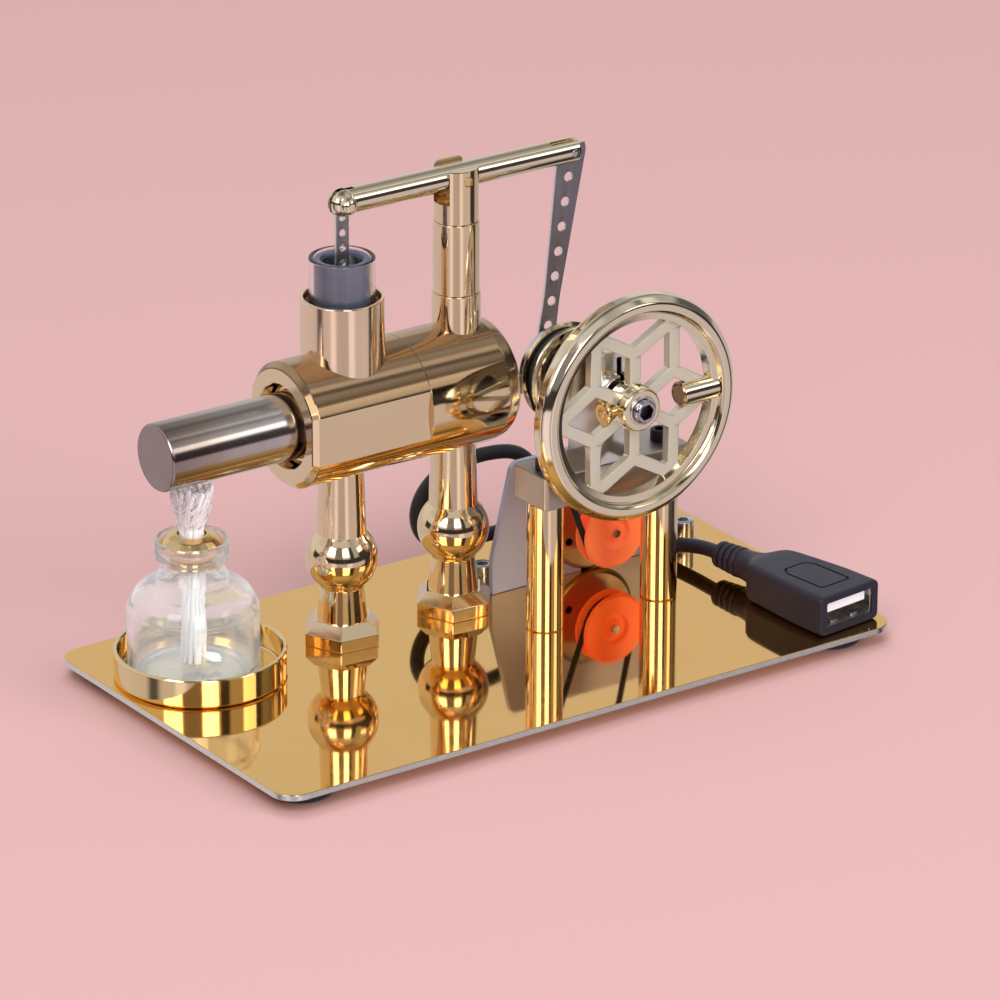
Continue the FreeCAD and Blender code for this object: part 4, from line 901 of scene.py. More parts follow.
# ---- beam: ball at the left end, slots for the link and the rod ------------------------------
ball_span = pi - asin(3.0 / 3.3)
ball_angles = [pi - ball_span * k / 24 for k in range(25)]
beam_profile = [(3.3 * sin(a), BEAM_LEFT + 3.3 * cos(a)) for a in ball_angles] + [
    (BEAM_R, BEAM_LEFT + 1.42), (BEAM_R, BEAM_LEFT + 1.8), (BEAM_R, BEAM_RIGHT + 1.3),
    (2.95, BEAM_RIGHT + 1.62), (2.4, BEAM_RIGHT + 2.1), (2.1, BEAM_RIGHT + 2.2),
    (0, BEAM_RIGHT + 2.2)]
piece("beam_finish", lathe(beam_profile, (0, AXIS_Y, BEAM_Z), X, 96), "pale_gold", "beam",
      "beam", sharp=25,
      cuts=[box(BEAM_LEFT - 5, BEAM_LEFT + 3.2, AXIS_Y - 0.6, AXIS_Y + 0.6,
                BEAM_Z - 6, BEAM_Z + 6),
            box(BEAM_RIGHT - 5.7, BEAM_RIGHT + 6, ROD_Y - 0.2, ROD_Y + STRIP + 0.2,
                BEAM_Z - 7, BEAM_Z + 7),
            across(1.30, POST_X, BEAM_Z, AXIS_Y - 6, AXIS_Y + 6, 40),
            across(2.3, BEAM_LEFT, BEAM_Z, AXIS_Y - 6, AXIS_Y - 2.6, 48),
            across(0.82, BEAM_LEFT, BEAM_Z, AXIS_Y - 6, AXIS_Y + 6, 24),
            across(0.82, BEAM_RIGHT, BEAM_Z, AXIS_Y - 6, AXIS_Y + 6, 24)])


def beam_screw(x, face, end, head, height):
    """Domed screw with its head in front of y = face."""
    shank = 0.8
    return turn([(0, face - height), (head * 0.45, face - height, head * 0.5),
                 (head * 0.86, face - height * 0.72, head * 0.45),
                 (head, face - height * 0.3, head * 0.2), (head, face, 0.06), (shank, face),
                 (shank, end, 0.15), (0, end)], 6, (x, 0, BEAM_Z), Y, 64)


piece("beam_screw_left", beam_screw(BEAM_LEFT, AXIS_Y - 2.62, AXIS_Y + 3.0, 2.15, 1.9),
      "pale_gold", "beam_end_screws", "beam", slot="silver")
piece("beam_screw_right", beam_screw(BEAM_RIGHT, AXIS_Y - 2.95, AXIS_Y + 2.8, 1.0, 0.25),
      "dark_chrome", body="beam", slot="silver")
PIVOT_PIN = [(0, -5.15), (1.05, -5.15, 0.2), (1.25, -4.9, 0.1), (1.25, 4.9, 0.1),
             (1.05, 5.15, 0.2), (0, 5.15)]
piece("pivot_pin_finish", turn(PIVOT_PIN, 3, (POST_X, AXIS_Y, BEAM_Z), Y, 48), "brass",
      "beam_pivot_pin")

# ---- post ------------------------------------------------------------------------------------
LOWER_TOP, MIDDLE_TOP, POST_TOP = TOP + 79.8, TOP + 97.2, TOP + 112.0
POST_LOWER = [(0, AXIS_Z + 11.6), (2.5, AXIS_Z + 11.6), (2.5, AXIS_Z + 13.5),
              (5.75, AXIS_Z + 13.5), (5.75, LOWER_TOP, 0.22), (2.03, LOWER_TOP), (0, LOWER_TOP)]
piece("post_lower_finish", turn(POST_LOWER, 4, POST, Z, 128), "gold_brass", "post_lower",
      cuts=[cylinder(BLOCK_R, (BLOCK_RIGHT - 5, AXIS_Y, AXIS_Z),
                     (REAR_END + 5, AXIS_Y, AXIS_Z), 160)])
POST_MIDDLE = [(0, LOWER_TOP + 0.02), (5.45, LOWER_TOP + 0.02, 0.2), (5.45, MIDDLE_TOP, 0.22),
               (0, MIDDLE_TOP)]
piece("post_middle_finish", turn(POST_MIDDLE, 4, POST, Z, 128), "gold_brass", "post_middle")
POST_FORK = [(0, MIDDLE_TOP + 0.02), (5.2, MIDDLE_TOP + 0.02, 0.2), (5.2, POST_TOP - 1.5, 1.6),
             (3.9, POST_TOP - 0.25, 1.2), (2.0, POST_TOP, 1.0), (0, POST_TOP)]
# the slot for the beam, the pin hole, then a lower top on the front ear than on the back one
piece("post_fork_finish", turn(POST_FORK, 6, POST, Z, 128), "gold_brass", "post_fork", cuts=[
    box(POST_X - 8, POST_X + 8, AXIS_Y - 3.25, AXIS_Y + 3.25, TOP + 102.0, POST_TOP + 2),
    across(1.27, POST_X, BEAM_Z, AXIS_Y - 8, AXIS_Y + 8, 40),
    box(POST_X - 8, POST_X + 8, AXIS_Y - 8, AXIS_Y, BEAM_Z + 2.5, POST_TOP + 2),
    box(POST_X - 8, POST_X + 8, AXIS_Y, AXIS_Y + 8, BEAM_Z + 3.5, POST_TOP + 2)])

# ---- flywheel ----------------------------------------------------------------------------------
FRONT, BACK, RIM_R, RIM_IN = -18.3, -12.3, 27.6, 21.5
NODE_R, TIP_R, BAR, HUB_R = 13.0, 22.2, 3.0, 5.6  # where bars fork and end, their width, the hub
CENTRE = Vector((CRANK_X, CRANK_Z))
RIM = [(RIM_IN, FRONT + 1.9, 0.1), (RIM_IN + 1.7, FRONT + 1.7, 0.35),
       (RIM_IN + 1.9, FRONT + 0.5, 0.35), (RIM_IN + 2.6, FRONT, 0.5), (RIM_R - 1.7, FRONT, 1.3),
       (RIM_R, FRONT + 1.7, 1.6), (RIM_R, BACK - 1.3, 1.4), (RIM_R - 1.5, BACK, 1.2),
       (RIM_IN + 2.6, BACK, 0.5), (RIM_IN + 1.9, BACK - 0.5, 0.35),
       (RIM_IN + 1.7, BACK - 1.2, 0.35), (RIM_IN, BACK - 1.3, 0.1)]
HUB = [(1.52, FRONT, 0.05), (4.9, FRONT, 0.45), (5.25, FRONT + 0.5, 0.3),
       (5.3, BACK + 1.0, 0.3), (1.52, BACK + 1.0, 0.05)]


def polar(radius, angle):
    return Vector((CRANK_X + radius * cos(radians(angle)), CRANK_Z + radius * sin(radians(angle))))


def bar_side(start, end, toward):
    """(point, direction) of the side of a bar that faces `toward`."""
    along = (end - start).normalized()
    normal = Vector((-along.y, along.x))
    if (toward - start).dot(normal) < 0:
        normal = -normal
    return start + normal * (BAR / 2), along


def crossing(line, other):
    (start, along), (spot, aim) = line, other
    scale = along.x * aim.y - along.y * aim.x
    return start + along * (((spot.x - start.x) * aim.y - (spot.y - start.y) * aim.x) / scale)


def rim_crossing(line, near):
    start, along = line
    offset = start - CENTRE
    half = offset.dot(along)
    root = sqrt(max(0, half * half - (offset.dot(offset) - RIM_IN * RIM_IN)))
    return min([start + along * (-half - root), start + along * (-half + root)],
               key=lambda spot: (spot - near).length)


def inner_opening(angle):
    """Opening between the hub and the bars that meet at the rim at this angle."""
    left, right, near = angle + 30, angle - 30, polar(11, angle)
    sides = [bar_side(polar(0, left), polar(NODE_R, left), near),
             bar_side(polar(NODE_R, left), polar(TIP_R, angle), near),
             bar_side(polar(NODE_R, right), polar(TIP_R, angle), near),
             bar_side(polar(0, right), polar(NODE_R, right), near)]
    half = degrees(asin(BAR / 2 / HUB_R))
    points = [(*polar(HUB_R, a), 0.25) for a in (right + half, angle, left - half)]
    points += [(*crossing(*pair), 0.5) for pair in zip(sides, sides[1:])]
    return fillet(points, 4)


def outer_opening(angle):
    """Opening between two forked bars and the rim."""
    near = polar(18.5, angle)
    sides = [bar_side(polar(NODE_R, angle), polar(TIP_R, angle + turned), near)
             for turned in (-30, 30)]
    first, last = [rim_crossing(side, near) for side in sides]
    start = atan2(first.y - CRANK_Z, first.x - CRANK_X)
    span = (atan2(last.y - CRANK_Z, last.x - CRANK_X) - start + pi) % (2 * pi) - pi
    arc = [(CRANK_X + RIM_IN * cos(start + span * k / 14),
            CRANK_Z + RIM_IN * sin(start + span * k / 14), 0.4 if k in (0, 14) else 0)
           for k in range(15)]
    return fillet([(*crossing(*sides), 0.5)] + arc, 4)


WEIGHT_Y = FRONT + 3.7
WEIGHT_AT = (CRANK_X, WEIGHT_Y, CRANK_Z)


def flywheel():
    openings = []
    for k in range(6):
        openings += [inner_opening(60 * k), outer_opening(60 * k + 30)]
    web = sheet(circle(CRANK_X, CRANK_Z, RIM_IN + 0.9, 128), openings,
                FRONT + 2.8, FRONT + 5.3, on_xz, 0.28)
    wheel = piece("flywheel_finish", turn(RIM, 6, CRANK, Y, 192), "pale_gold", "flywheel",
                  "crank", add=[web, turn(HUB, 5, CRANK, Y, 96)],
                  cuts=[cylinder(3.02, (CRANK_X + 12.7, WEIGHT_Y, CRANK_Z),
                                 (CRANK_X + 23.1, WEIGHT_Y, CRANK_Z), 64)], sharp=26)
    second_material(wheel, "web_gold", lambda radius, y: HUB_R < radius < RIM_IN - 0.6
                    and FRONT + 2.0 < y < FRONT + 6.2)
    # the set screw hole comes last: this cut also bakes in the weighted normals
    boolean(wheel, [cylinder(1.42, (CRANK_X - 6.5, WEIGHT_Y, CRANK_Z),
                             (CRANK_X - 1.6, WEIGHT_Y, CRANK_Z), 40)])


flywheel()
WEIGHT = [(0, 13.0), (2.1, 13.0, 0.3), (2.45, 12.8, 0.15), (3.0, 13.3, 0.4), (3.0, 23.0, 0.1),
          (0, 23.0)]
piece("weight_finish", turn(WEIGHT, 4, WEIGHT_AT, X, 64), "dark_bronze", "balance_weight",
      "crank", slot="pale_gold", side=("pale_gold", 0))
SET_SCREW = [(0, -9.2), (1.2, -9.2, 0.1), (1.3, -9.0, 0.05), (2.3, -9.1, 0.2), (2.95, -8.7, 0.25),
             (2.9, -8.1, 0.2), (1.75, -7.0, 0.2), (1.4, -6.6, 0.1), (1.4, -1.75), (0, -1.75)]


def knurled(angle, radius):
    return 1 + (0.03 * (0.5 + 0.5 * cos(24 * angle)) - 0.03 if radius > 2.6 else 0)


piece("set_screw_finish", turn(SET_SCREW, 4, WEIGHT_AT, X, 144, knurled), "brass",
      "hub_set_screw", "crank")
wheel_screw = piece(
    "wheel_screw_finish",
    socket_screw((CRANK_X, FRONT - 0.02, CRANK_Z), (0, -1, 0), 2.85, 1.6, depth=1.35,
                 shank_length=0.8, flats=3.2, knurl=0.0, chamfer=0.4, shank=1.15),
    "dark_chrome", "flywheel_screw", "crank", slot="black_steel")
# painted shade: the faces inside the hex socket take black steel so the recess comes out dark
second_material(wheel_screw, "black_steel", lambda radius, y: radius < 1.9 and y > FRONT - 1.6)
WASHER = [(2.95, FRONT - 0.02), (3.6, FRONT - 0.02, 0.05), (3.55, FRONT - 0.32, 0.1),
          (2.95, FRONT - 0.32, 0.1)]
piece("wheel_washer", turn(WASHER, 3, CRANK, Y, 72), "silver", body="crank")

# ---- drive pulley (outline from the belt plane), crank disc --------------------------------------
DRIVE_PULLEY = [
    (1.52, -4.8), (4.2, -4.8, 0.25), (4.5, -4.5, 0.2), (4.5, -1.6, 0.4), (9.6, -1.6, 0.5),
    (10.5, -2.4, 0.25), (11.8, -2.4, 0.35), (12.0, -2.0, 0.2), (12.0, -1.75, 0.12),
    (9.9, -1.15, 0.3), (9.62, -0.5, 0.3), (9.62, 0.5, 0.3), (9.9, 1.15, 0.3), (12.0, 1.75, 0.12),
    (12.0, 2.1, 0.25), (11.7, 2.4, 0.2), (1.52, 2.4)]
piece("drive_pulley_finish", turn(DRIVE_PULLEY, 4, (CRANK_X, BELT_Y, CRANK_Z), Y, 144),
      "pale_gold", "drive_pulley", "crank")
CRANK_DISC = [(1.52, 14.2), (10.2, 14.2, 0.2), (10.5, 14.5, 0.2), (10.5, 16.3, 0.2),
              (10.2, 16.6, 0.2), (1.52, 16.6, 0.1)]
piece("crank_disc_finish", turn(CRANK_DISC, 4, CRANK, Y, 128), "silver", "crank_disc",
      "crank", cuts=[across(1.22, PIN_X, PIN_Z, 14.8, 18, 32)])

# ---- bearing support ---------------------------------------------------------------------------
BRIDGE_FRONT, BRIDGE_BACK = -9.0, 4.0
BRIDGE_LOW, BRIDGE_HIGH, HOUSING_TOP = TOP + 31.8, TOP + 39.8, TOP + 67.6
HOUSING_HALF = 5.2
PILLAR = [(0, TOP + 0.01), (4.15, TOP + 0.01, 0.1), (4.4, TOP + 0.3, 0.15),
          (4.4, BRIDGE_LOW - 0.35, 0.15), (4.1, BRIDGE_LOW, 0.1), (0, BRIDGE_LOW)]
piece("pillars_finish", join(*[turn(PILLAR, 3, (x, y, 0), Z, 128) for x, y in PILLARS]),
      "gold_brass", "bridge_pillars")
piece("bridge_finish", sheet(rect(12.5, 54.2, BRIDGE_FRONT, BRIDGE_BACK, 1.2, 6),
                             [circle(x, y, 1.6, 24) for x, y in PILLARS],
                             BRIDGE_LOW + 0.01, BRIDGE_HIGH, on_xy, 0.35, 4),
      "bridge_alu", "bearing_bridge", slot="silver")
# the bore opens at the top into a narrow slot
bore_slot = fillet([(CRANK_X - 0.6, CRANK_Z + 3.9), (CRANK_X - 0.6, HOUSING_TOP - 1.8, 0.4),
                    (CRANK_X + 0.6, HOUSING_TOP - 1.8, 0.4), (CRANK_X + 0.6, CRANK_Z + 3.9)],
                   4, False)
bore_angles = [radians(81 - 342 * k / 60) for k in range(61)]
bore_slot += [(CRANK_X + 4.02 * cos(a), CRANK_Z + 4.02 * sin(a)) for a in bore_angles]
housing = fillet([(CRANK_X - HOUSING_HALF, BRIDGE_HIGH + 0.01, 0.2),
                  (CRANK_X + HOUSING_HALF, BRIDGE_HIGH + 0.01, 0.2),
                  (CRANK_X + HOUSING_HALF, HOUSING_TOP, 1.8),
                  (CRANK_X - HOUSING_HALF, HOUSING_TOP, 1.8)], 8)
piece("bearing_housing_finish", sheet(housing, [bore_slot], BRIDGE_FRONT, BRIDGE_BACK, on_xz, 0.3),
      "silver", "bearing_housing", sharp=26)
BOSS = [(4.05, BRIDGE_FRONT + 0.1), (4.05, BRIDGE_FRONT - 1.2, 0.15),
        (5.95, BRIDGE_FRONT - 1.2, 0.3), (6.3, BRIDGE_FRONT - 0.8, 0.2), (6.3, BRIDGE_FRONT + 0.1)]
piece("housing_boss", turn(BOSS, 4, CRANK, Y, 96), "silver", sharp=26,
      cuts=[box(CRANK_X - 0.6, CRANK_X + 0.6, BRIDGE_FRONT - 3, BRIDGE_FRONT + 2,
                CRANK_Z + 3, CRANK_Z + 8)])
cap_screws = [socket_screw((x, y, BRIDGE_HIGH + 0.01), Z, 2.4, 2.7, depth=1.5, shank_length=5.4)
              for x, y in PILLARS]
cap_screws.append(socket_screw((CRANK_X, -2.5, BRIDGE_LOW + 2.55), (0, 0, -1), 2.7, 2.4,
                               depth=1.4, shank_length=5.4))
piece("cap_screws_finish", join(*cap_screws), "black_steel", "cap_screws", sharp=40)
bracket_bolts = [socket_screw((x, y, TOP + 1.22), Z, 2.6, 5.1, depth=1.7, shank_length=3.0)
                 for x, y in BRACKET_BOLTS]
piece("bracket_bolts", join(*bracket_bolts), "thin_steel", slot="black_steel", sharp=40)

# ---- generator ---------------------------------------------------------------------------------
CAN = [(1.03, GEN_FRONT - 1.4), (3.0, GEN_FRONT - 1.4, 0.3), (3.0, GEN_FRONT, 0.2),
       (GEN_R - 0.7, GEN_FRONT, 0.9), (GEN_R, GEN_FRONT + 1.0, 0.6), (GEN_R, GEN_BACK),
       (GEN_R - 0.5, GEN_BACK), (GEN_R - 0.5, GEN_FRONT + 1.0), (1.03, GEN_FRONT + 1.0)]
piece("generator_can_finish", turn(CAN, 6, GEN, Y, 144), "motor_steel", "generator_can",
      slot="thin_steel", sharp=26,
      cuts=[across(1.0, GEN_X + side * 7.3, GEN_Z + side * 3.6, 10, 20, 28) for side in (-1, 1)])
# (radius, distance behind the can, corner radius)
END_CAP = [(0, -2.2), (GEN_R - 0.53, -2.2), (GEN_R - 0.53, -0.02, 0.1), (GEN_R - 1.5, 0.3, 0.3),
           (6.2, 0.3, 0.2), (5.9, 0.1, 0.1), (5.2, 0.1, 0.1), (4.9, 0.3, 0.2), (3.5, 0.3, 0.2),
           (3.2, 1.0, 0.25), (1.05, 1.0, 0.1), (1.05, 0.4), (0, 0.4)]
piece("generator_end_finish", turn(END_CAP, 4, (GEN_X, GEN_BACK, GEN_Z), Y, 112),
      "black_plastic", "generator_end_cap")
GENERATOR_PULLEY = [                          # from the belt plane
    (1.02, -2.0, 0.1), (2.0, -2.0, 0.2), (2.3, -1.5, 0.2), (3.2, -1.5, 0.2), (3.9, -2.3, 0.3),
    (8.2, -2.3, 0.5), (8.9, -1.7, 0.3), (8.9, -1.5, 0.1), (6.7, -1.1, 0.2), (6.42, -0.5, 0.25),
    (6.42, 0.5, 0.25), (6.7, 1.1, 0.2), (8.9, 1.5, 0.1), (8.9, 2.0, 0.25), (8.5, 2.3, 0.2),
    (3.0, 2.3, 0.2), (3.0, 3.9, 0.3), (1.02, 3.9)]
piece("generator_pulley_finish", turn(GENERATOR_PULLEY, 4, (GEN_X, BELT_Y, GEN_Z), Y, 128),
      "orange_plastic", "generator_pulley", "generator_rotor")


def bracket():
    """Upright sheet with a round cut-out for the can, two lugs and an arch for the cable."""
    outline = fillet([(17.2, TOP + 0.01, 0.3), (70.5, TOP + 0.01, 0.3), (70.5, TOP + 9, 1.5),
                      (65, TOP + 32.5, 2.2), (23, TOP + 32.5, 2.2), (17.2, TOP + 9, 1.5)], 6)
    obj = raw("bracket_finish", sheet(outline, [], 19.0, 20.5, on_xz, 0.25))
    boolean(obj, [across(GEN_R + 0.04, GEN_X, GEN_Z, 17, 23, 112),
                  box(GEN_X - 3, GEN_X + 3, 17, 23, TOP - 2, TOP + 3)])
    lugs = [(15.3, 21.6, 19.6, 27.6), (70.1, 76.8, 15.4, 22.2)]
    for limits, bolt in zip(lugs, BRACKET_BOLTS):
        boolean(obj, [sheet(rect(*limits, 1.6, 6), [circle(*bolt, 1.6, 24)],
                            TOP + 0.01, TOP + 1.2, on_xy, 0.2)], "UNION")
    arch = [(64.0, TOP - 2), (68.4, TOP - 2)]
    arch += [(66.2 + 2.2 * cos(radians(a)), TOP + 3.6 + 2.2 * sin(radians(a)))
             for a in range(0, 181, 12)]
    boolean(obj, [sheet(arch, [], 17, 23, on_xz, 0.01, 1)])
    finish(obj, "bracket_silver", "generator_bracket", slot="silver", sharp=26)


bracket()


def belt_path():
    """Closed loop round both pulleys, 0.4 inside the belt's outer radii."""
    big_radius, small_radius = BELT_BIG - 0.4, BELT_SMALL - 0.4
    span_x, span_z = GEN_X - CRANK_X, GEN_Z - CRANK_Z
    lean = atan2(span_z, span_x)
    wrap = acos((big_radius - small_radius) / hypot(span_x, span_z))

    def arc(x, z, radius, start, turned, steps):
        angles = [start - turned * k / steps for k in range(steps + 1)]
        return [Vector((x + radius * cos(a), BELT_Y, z + radius * sin(a))) for a in angles]

    def straight(start, end):
        return [start.lerp(end, k / 16) for k in range(1, 16)]

    small = arc(GEN_X, GEN_Z, small_radius, lean + wrap, 2 * wrap, 32)
    big = arc(CRANK_X, CRANK_Z, big_radius, lean - wrap, 2 * pi - 2 * wrap, 56)
    return small + straight(small[-1], big[0]) + big + straight(big[-1], small[0])


piece("belt_finish", sweep(belt_path(), 0.74, 14, closed=True, fixed=Y), "rubber", "drive_belt",
      normals=False)

terminals = []
for x in (GEN_X - 6.5, GEN_X + 6.5):
    terminals.append(sheet(rect(x - 1.1, x + 1.1, GEN_BACK + 0.2, GEN_BACK + 3.2, 0.5, 4),
                           [circle(x, GEN_BACK + 2.2, 0.5, 16)], GEN_Z + 3.0, GEN_Z + 3.35,
                           on_xy, 0.08, 2))
piece("generator_terminals", join(*terminals), "brass")
for name, side, look in (("lead_red", -1, "red_wire"), ("lead_black", 1, "cable_sheath")):
    lead = [(GEN_X + side * 6.5, GEN_BACK + 2.3, GEN_Z + 3.3),
            (GEN_X + side * 6.3, GEN_BACK + 3.6, GEN_Z + 4.6),
            (GEN_X + side * 2.0 - 1.5, GEN_BACK + 4.0, GEN_Z + 6.6),
            (42.6 + side * 0.5, 33.7, TOP + 20.0),
            (40.3 + side * 0.1, 33.4 + side * 0.3, TOP + 21.6)]
    piece(name, sweep(spline(lead, 10), 0.45, 10), look, slot="rubber", normals=False)

# ---- USB socket: opening at the front, turned a little about Z --------------------------------------
PORT_AT, PORT_TURN, PORT_Z = Vector((74.8, -44.9, TOP)), radians(6.6), 5.05
PORT_BACK = Vector((-sin(PORT_TURN), cos(PORT_TURN), 0))
PORT_RIGHT = Vector((cos(PORT_TURN), sin(PORT_TURN), 0))


def port(right, back, height):
    return PORT_AT + PORT_RIGHT * right + PORT_BACK * back + Vector((0, 0, height))


def port_section(width, height, radius, back):
    out = []
    for side, rise, start in ((1, 1, 0), (-1, 1, 90), (-1, -1, 180), (1, -1, 270)):
        for k in range(7):
            a = radians(start + 90.0 * k / 6)
            out.append(port(side * (width / 2 - radius) + radius * cos(a), back,
                            PORT_Z + rise * (height / 2 - radius) + radius * sin(a)))
    return out


# width, height, corner radius, distance back from the front face
PORT_BODY = [
    (15.5, 7.0, 0.5, 14.0), (15.5, 7.0, 0.5, 0.75), (14.75, 6.25, 0.35, 0.72),
    (14.75, 6.25, 0.35, 0.3), (14.95, 6.45, 0.5, 0.04), (15.2, 6.7, 0.6, 0.0),
    (17.9, 8.9, 1.2, 0.0), (18.55, 9.55, 1.4, 0.16), (18.85, 9.85, 1.5, 0.5),
    (18.9, 9.9, 1.5, 1.0), (18.8, 9.9, 1.55, 5.0), (18.6, 9.9, 1.6, 10.0), (17.7, 9.8, 1.6, 15.0),
    (16.7, 9.7, 1.6, 20.0), (15.6, 9.6, 1.7, 25.0), (14.9, 9.5, 1.8, 26.8), (13.9, 9.3, 2.0, 27.9),
    (12.2, 9.0, 2.2, 28.8), (10.0, 8.4, 2.6, 29.8), (8.4, 7.8, 3.0, 31.0), (7.6, 7.5, 3.4, 32.6),
    (7.3, 7.3, 3.6, 34.5), (7.15, 7.15, 3.55, 36.0), (6.9, 6.9, 3.4, 36.4), (5.0, 5.0, 2.4, 36.45)]
PORT_SHELL = [
    (14.5, 6.0, 0.25, 13.5), (14.5, 6.0, 0.25, 1.0), (14.7, 6.2, 0.3, 0.82),
    (15.3, 6.8, 0.45, 0.79), (15.44, 6.94, 0.5, 0.9), (15.44, 6.94, 0.5, 13.95)]
# outer and inner edge of a shallow groove in the top face: right, back, corner radius
GROOVE_OUT = [(-4.8, 4.6, 1.2), (4.8, 4.6, 1.2), (4.8, 17.0, 1.4), (3.0, 19.2, 1.2),
              (-3.0, 19.2, 1.2), (-4.8, 17.0, 1.4)]
GROOVE_IN = [(-4.2, 5.2, 0.9), (4.2, 5.2, 0.9), (4.2, 16.7, 1.1), (2.7, 18.6, 1.0),
             (-2.7, 18.6, 1.0), (-4.2, 16.7, 1.1)]
piece("usb_body_finish", loft([port_section(*row) for row in PORT_BODY]), "black_plastic",
      "usb_socket_body", sharp=28,
      cuts=[sheet(fillet(GROOVE_OUT, 5), [fillet(GROOVE_IN, 5)], PORT_Z + 4.35, PORT_Z + 6.5,
                  port, 0.01, 1)])


def strain_relief():
    """Four shrinking ribs round the cable, behind the body."""
    profile = [(0, 35.5), (3.0, 35.5)]
    for k in range(4):
        back, radius = 36.5 + 2.0 * k, 3.72 - 0.14 * k
        profile += [(2.75 - 0.08 * k, back), (radius - 0.15, back + 0.02), (radius, back + 0.3),
                    (radius, back + 1.15), (radius - 0.15, back + 1.4),
                    (2.75 - 0.1 * k, back + 1.42)]
    profile += [(2.3, 44.2), (2.15, 44.7), (1.8, 44.75), (1.8, 40.0), (0, 40.0)]
    return turn([(radius, back, 0.12) for radius, back in profile], 2,
                PORT_AT + Vector((0, 0, PORT_Z)), PORT_BACK, 64)


def port_box(right, back, low, high, bevel=0.12):
    """Box from (min, max) right and back, and levels from the middle of the socket."""
    return sheet(rect(*right, *back, 0.2, 3), [], PORT_Z + low, PORT_Z + high, port, bevel, 2)


piece("strain_relief", strain_relief(), "black_plastic")
piece("usb_shell_finish", loft([port_section(*row) for row in PORT_SHELL]), "thin_steel",
      "usb_shell")
piece("usb_tongue_finish", join(port_box((-6.15, 6.15), (1.4, 13.4), 0.25, 2.5),
                                port_box((-7.1, 7.1), (12.6, 13.4), -2.9, 2.9)),
      "white_plastic", "usb_tongue")
contacts = [-3.7 + 2.45 * k for k in range(4)]
piece("usb_contacts", join(*[port_box((x - 0.55, x + 0.55), (2.0, 12.0), 0.02, 0.24, 0.05)
                             for x in contacts]), "brass")
piece("usb_springs", join(*[port_box((x - 1.1, x + 1.1), (2.0, 8.0), -2.99, -2.55)
                            for x in (-3.3, 3.3)]), "thin_steel")

# the cable loops to the left behind the bracket, then comes forward to the socket
CABLE = [(40.5, 33.4, TOP + 21.0), (35.5, 33.8, TOP + 27.0), (28, 33.6, TOP + 29.3),
         (18, 33.2, TOP + 29.3), (9, 32.6, TOP + 26.3), (4.6, 32.2, TOP + 19.6),
         (7, 32.6, TOP + 13.0), (15, 33.2, TOP + 9.6), (30, 34.2, TOP + 8.2),
         (48, 35.0, TOP + 6.2), (61.0, 31.5, TOP + 4.0), (65.6, 25.2, TOP + 3.1),
         (66.2, 19.8, TOP + 2.9), (67.0, 13.5, TOP + 3.3), (69.0, 6.0, TOP + 4.5),
         port(0, 44.5, PORT_Z), port(0, 40, PORT_Z), port(0, 35.2, PORT_Z)]
piece("cable_finish", sweep(spline(CABLE, 14), 1.75, 24), "cable_sheath", "usb_cable",
      slot="rubber", normals=False)

# ---- spirit burner ----------------------------------------------------------------------------
BURNER_X, BURNER_Y, BOTTLE_Z = -66.0, 20.0, TOP + 1.02
BURNER = (BURNER_X, BURNER_Y, BOTTLE_Z)
TRAY = [(0, 0.01), (19.4, 0.01, 0.3), (20.1, 0.6, 0.4), (20.1, 6.7, 0.25), (19.85, 7.1, 0.2),
        (19.25, 7.1, 0.2), (19.0, 6.7, 0.25), (19.0, 1.0, 0.7), (0, 1.0)]
piece("tray_finish", turn(TRAY, 5, (-64.5, 19.6, TOP), Z, 160), "tray_gold", "burner_tray",
      slot="gold_brass")
BOTTLE = [
    (0, 0.5), (10.8, 0.45, 1.0), (12.5, 0, 0.8), (14.5, 0.3, 1.4), (15.4, 2.0, 1.6),
    (15.4, 16.6, 4.2), (13.4, 20.6, 5.0), (8.4, 23.8, 3.6), (7.15, 26.6, 2.0), (7.5, 28.0, 0.7),
    (8.5, 28.7, 0.8), (8.75, 30.2, 1.0), (8.65, 32.6, 0.6), (8.3, 33.5, 0.35), (7.85, 33.2, 0.3),
    (7.75, 31.2, 0.2), (7.6, 31.0, 0.1), (5.45, 31.0, 0.4), (5.45, 25.8, 2.4), (9.0, 22.1, 4.0),
    (13.0, 18.8, 3.4), (14.0, 15.8, 2.0), (14.0, 2.9, 1.2), (12.8, 1.9, 0.9), (0, 1.9)]
piece("bottle_glass", turn(BOTTLE, 9, BURNER, Z, 144), "glass", "burner_bottle", sharp=70)
CAP = [(3.35, 27.5, 0.2), (5.25, 27.5, 0.2), (5.25, 31.05, 0.1), (7.3, 31.05, 0.15),
       (7.6, 31.4, 0.25), (7.35, 32.3, 0.8), (5.6, 33.9, 1.6), (4.1, 34.55, 0.4),
       (3.35, 34.6, 0.2)]
piece("cap_finish", turn(CAP, 6, BURNER, Z, 144), "brass", "burner_cap")

FLARE_Z, FLARE_HEIGHT = 36.2, 9.5            # the wick spreads above this height in the bottle


def in_bottle(radius, angle, height):
    return (BURNER_X + radius * cos(angle), BURNER_Y + radius * sin(angle), BOTTLE_Z + height)


def strand_taper(along):
    return (0.75 + 0.25 * min(1, (1 - along) * 9)) * (0.8 + 0.2 * min(1, along * 12))


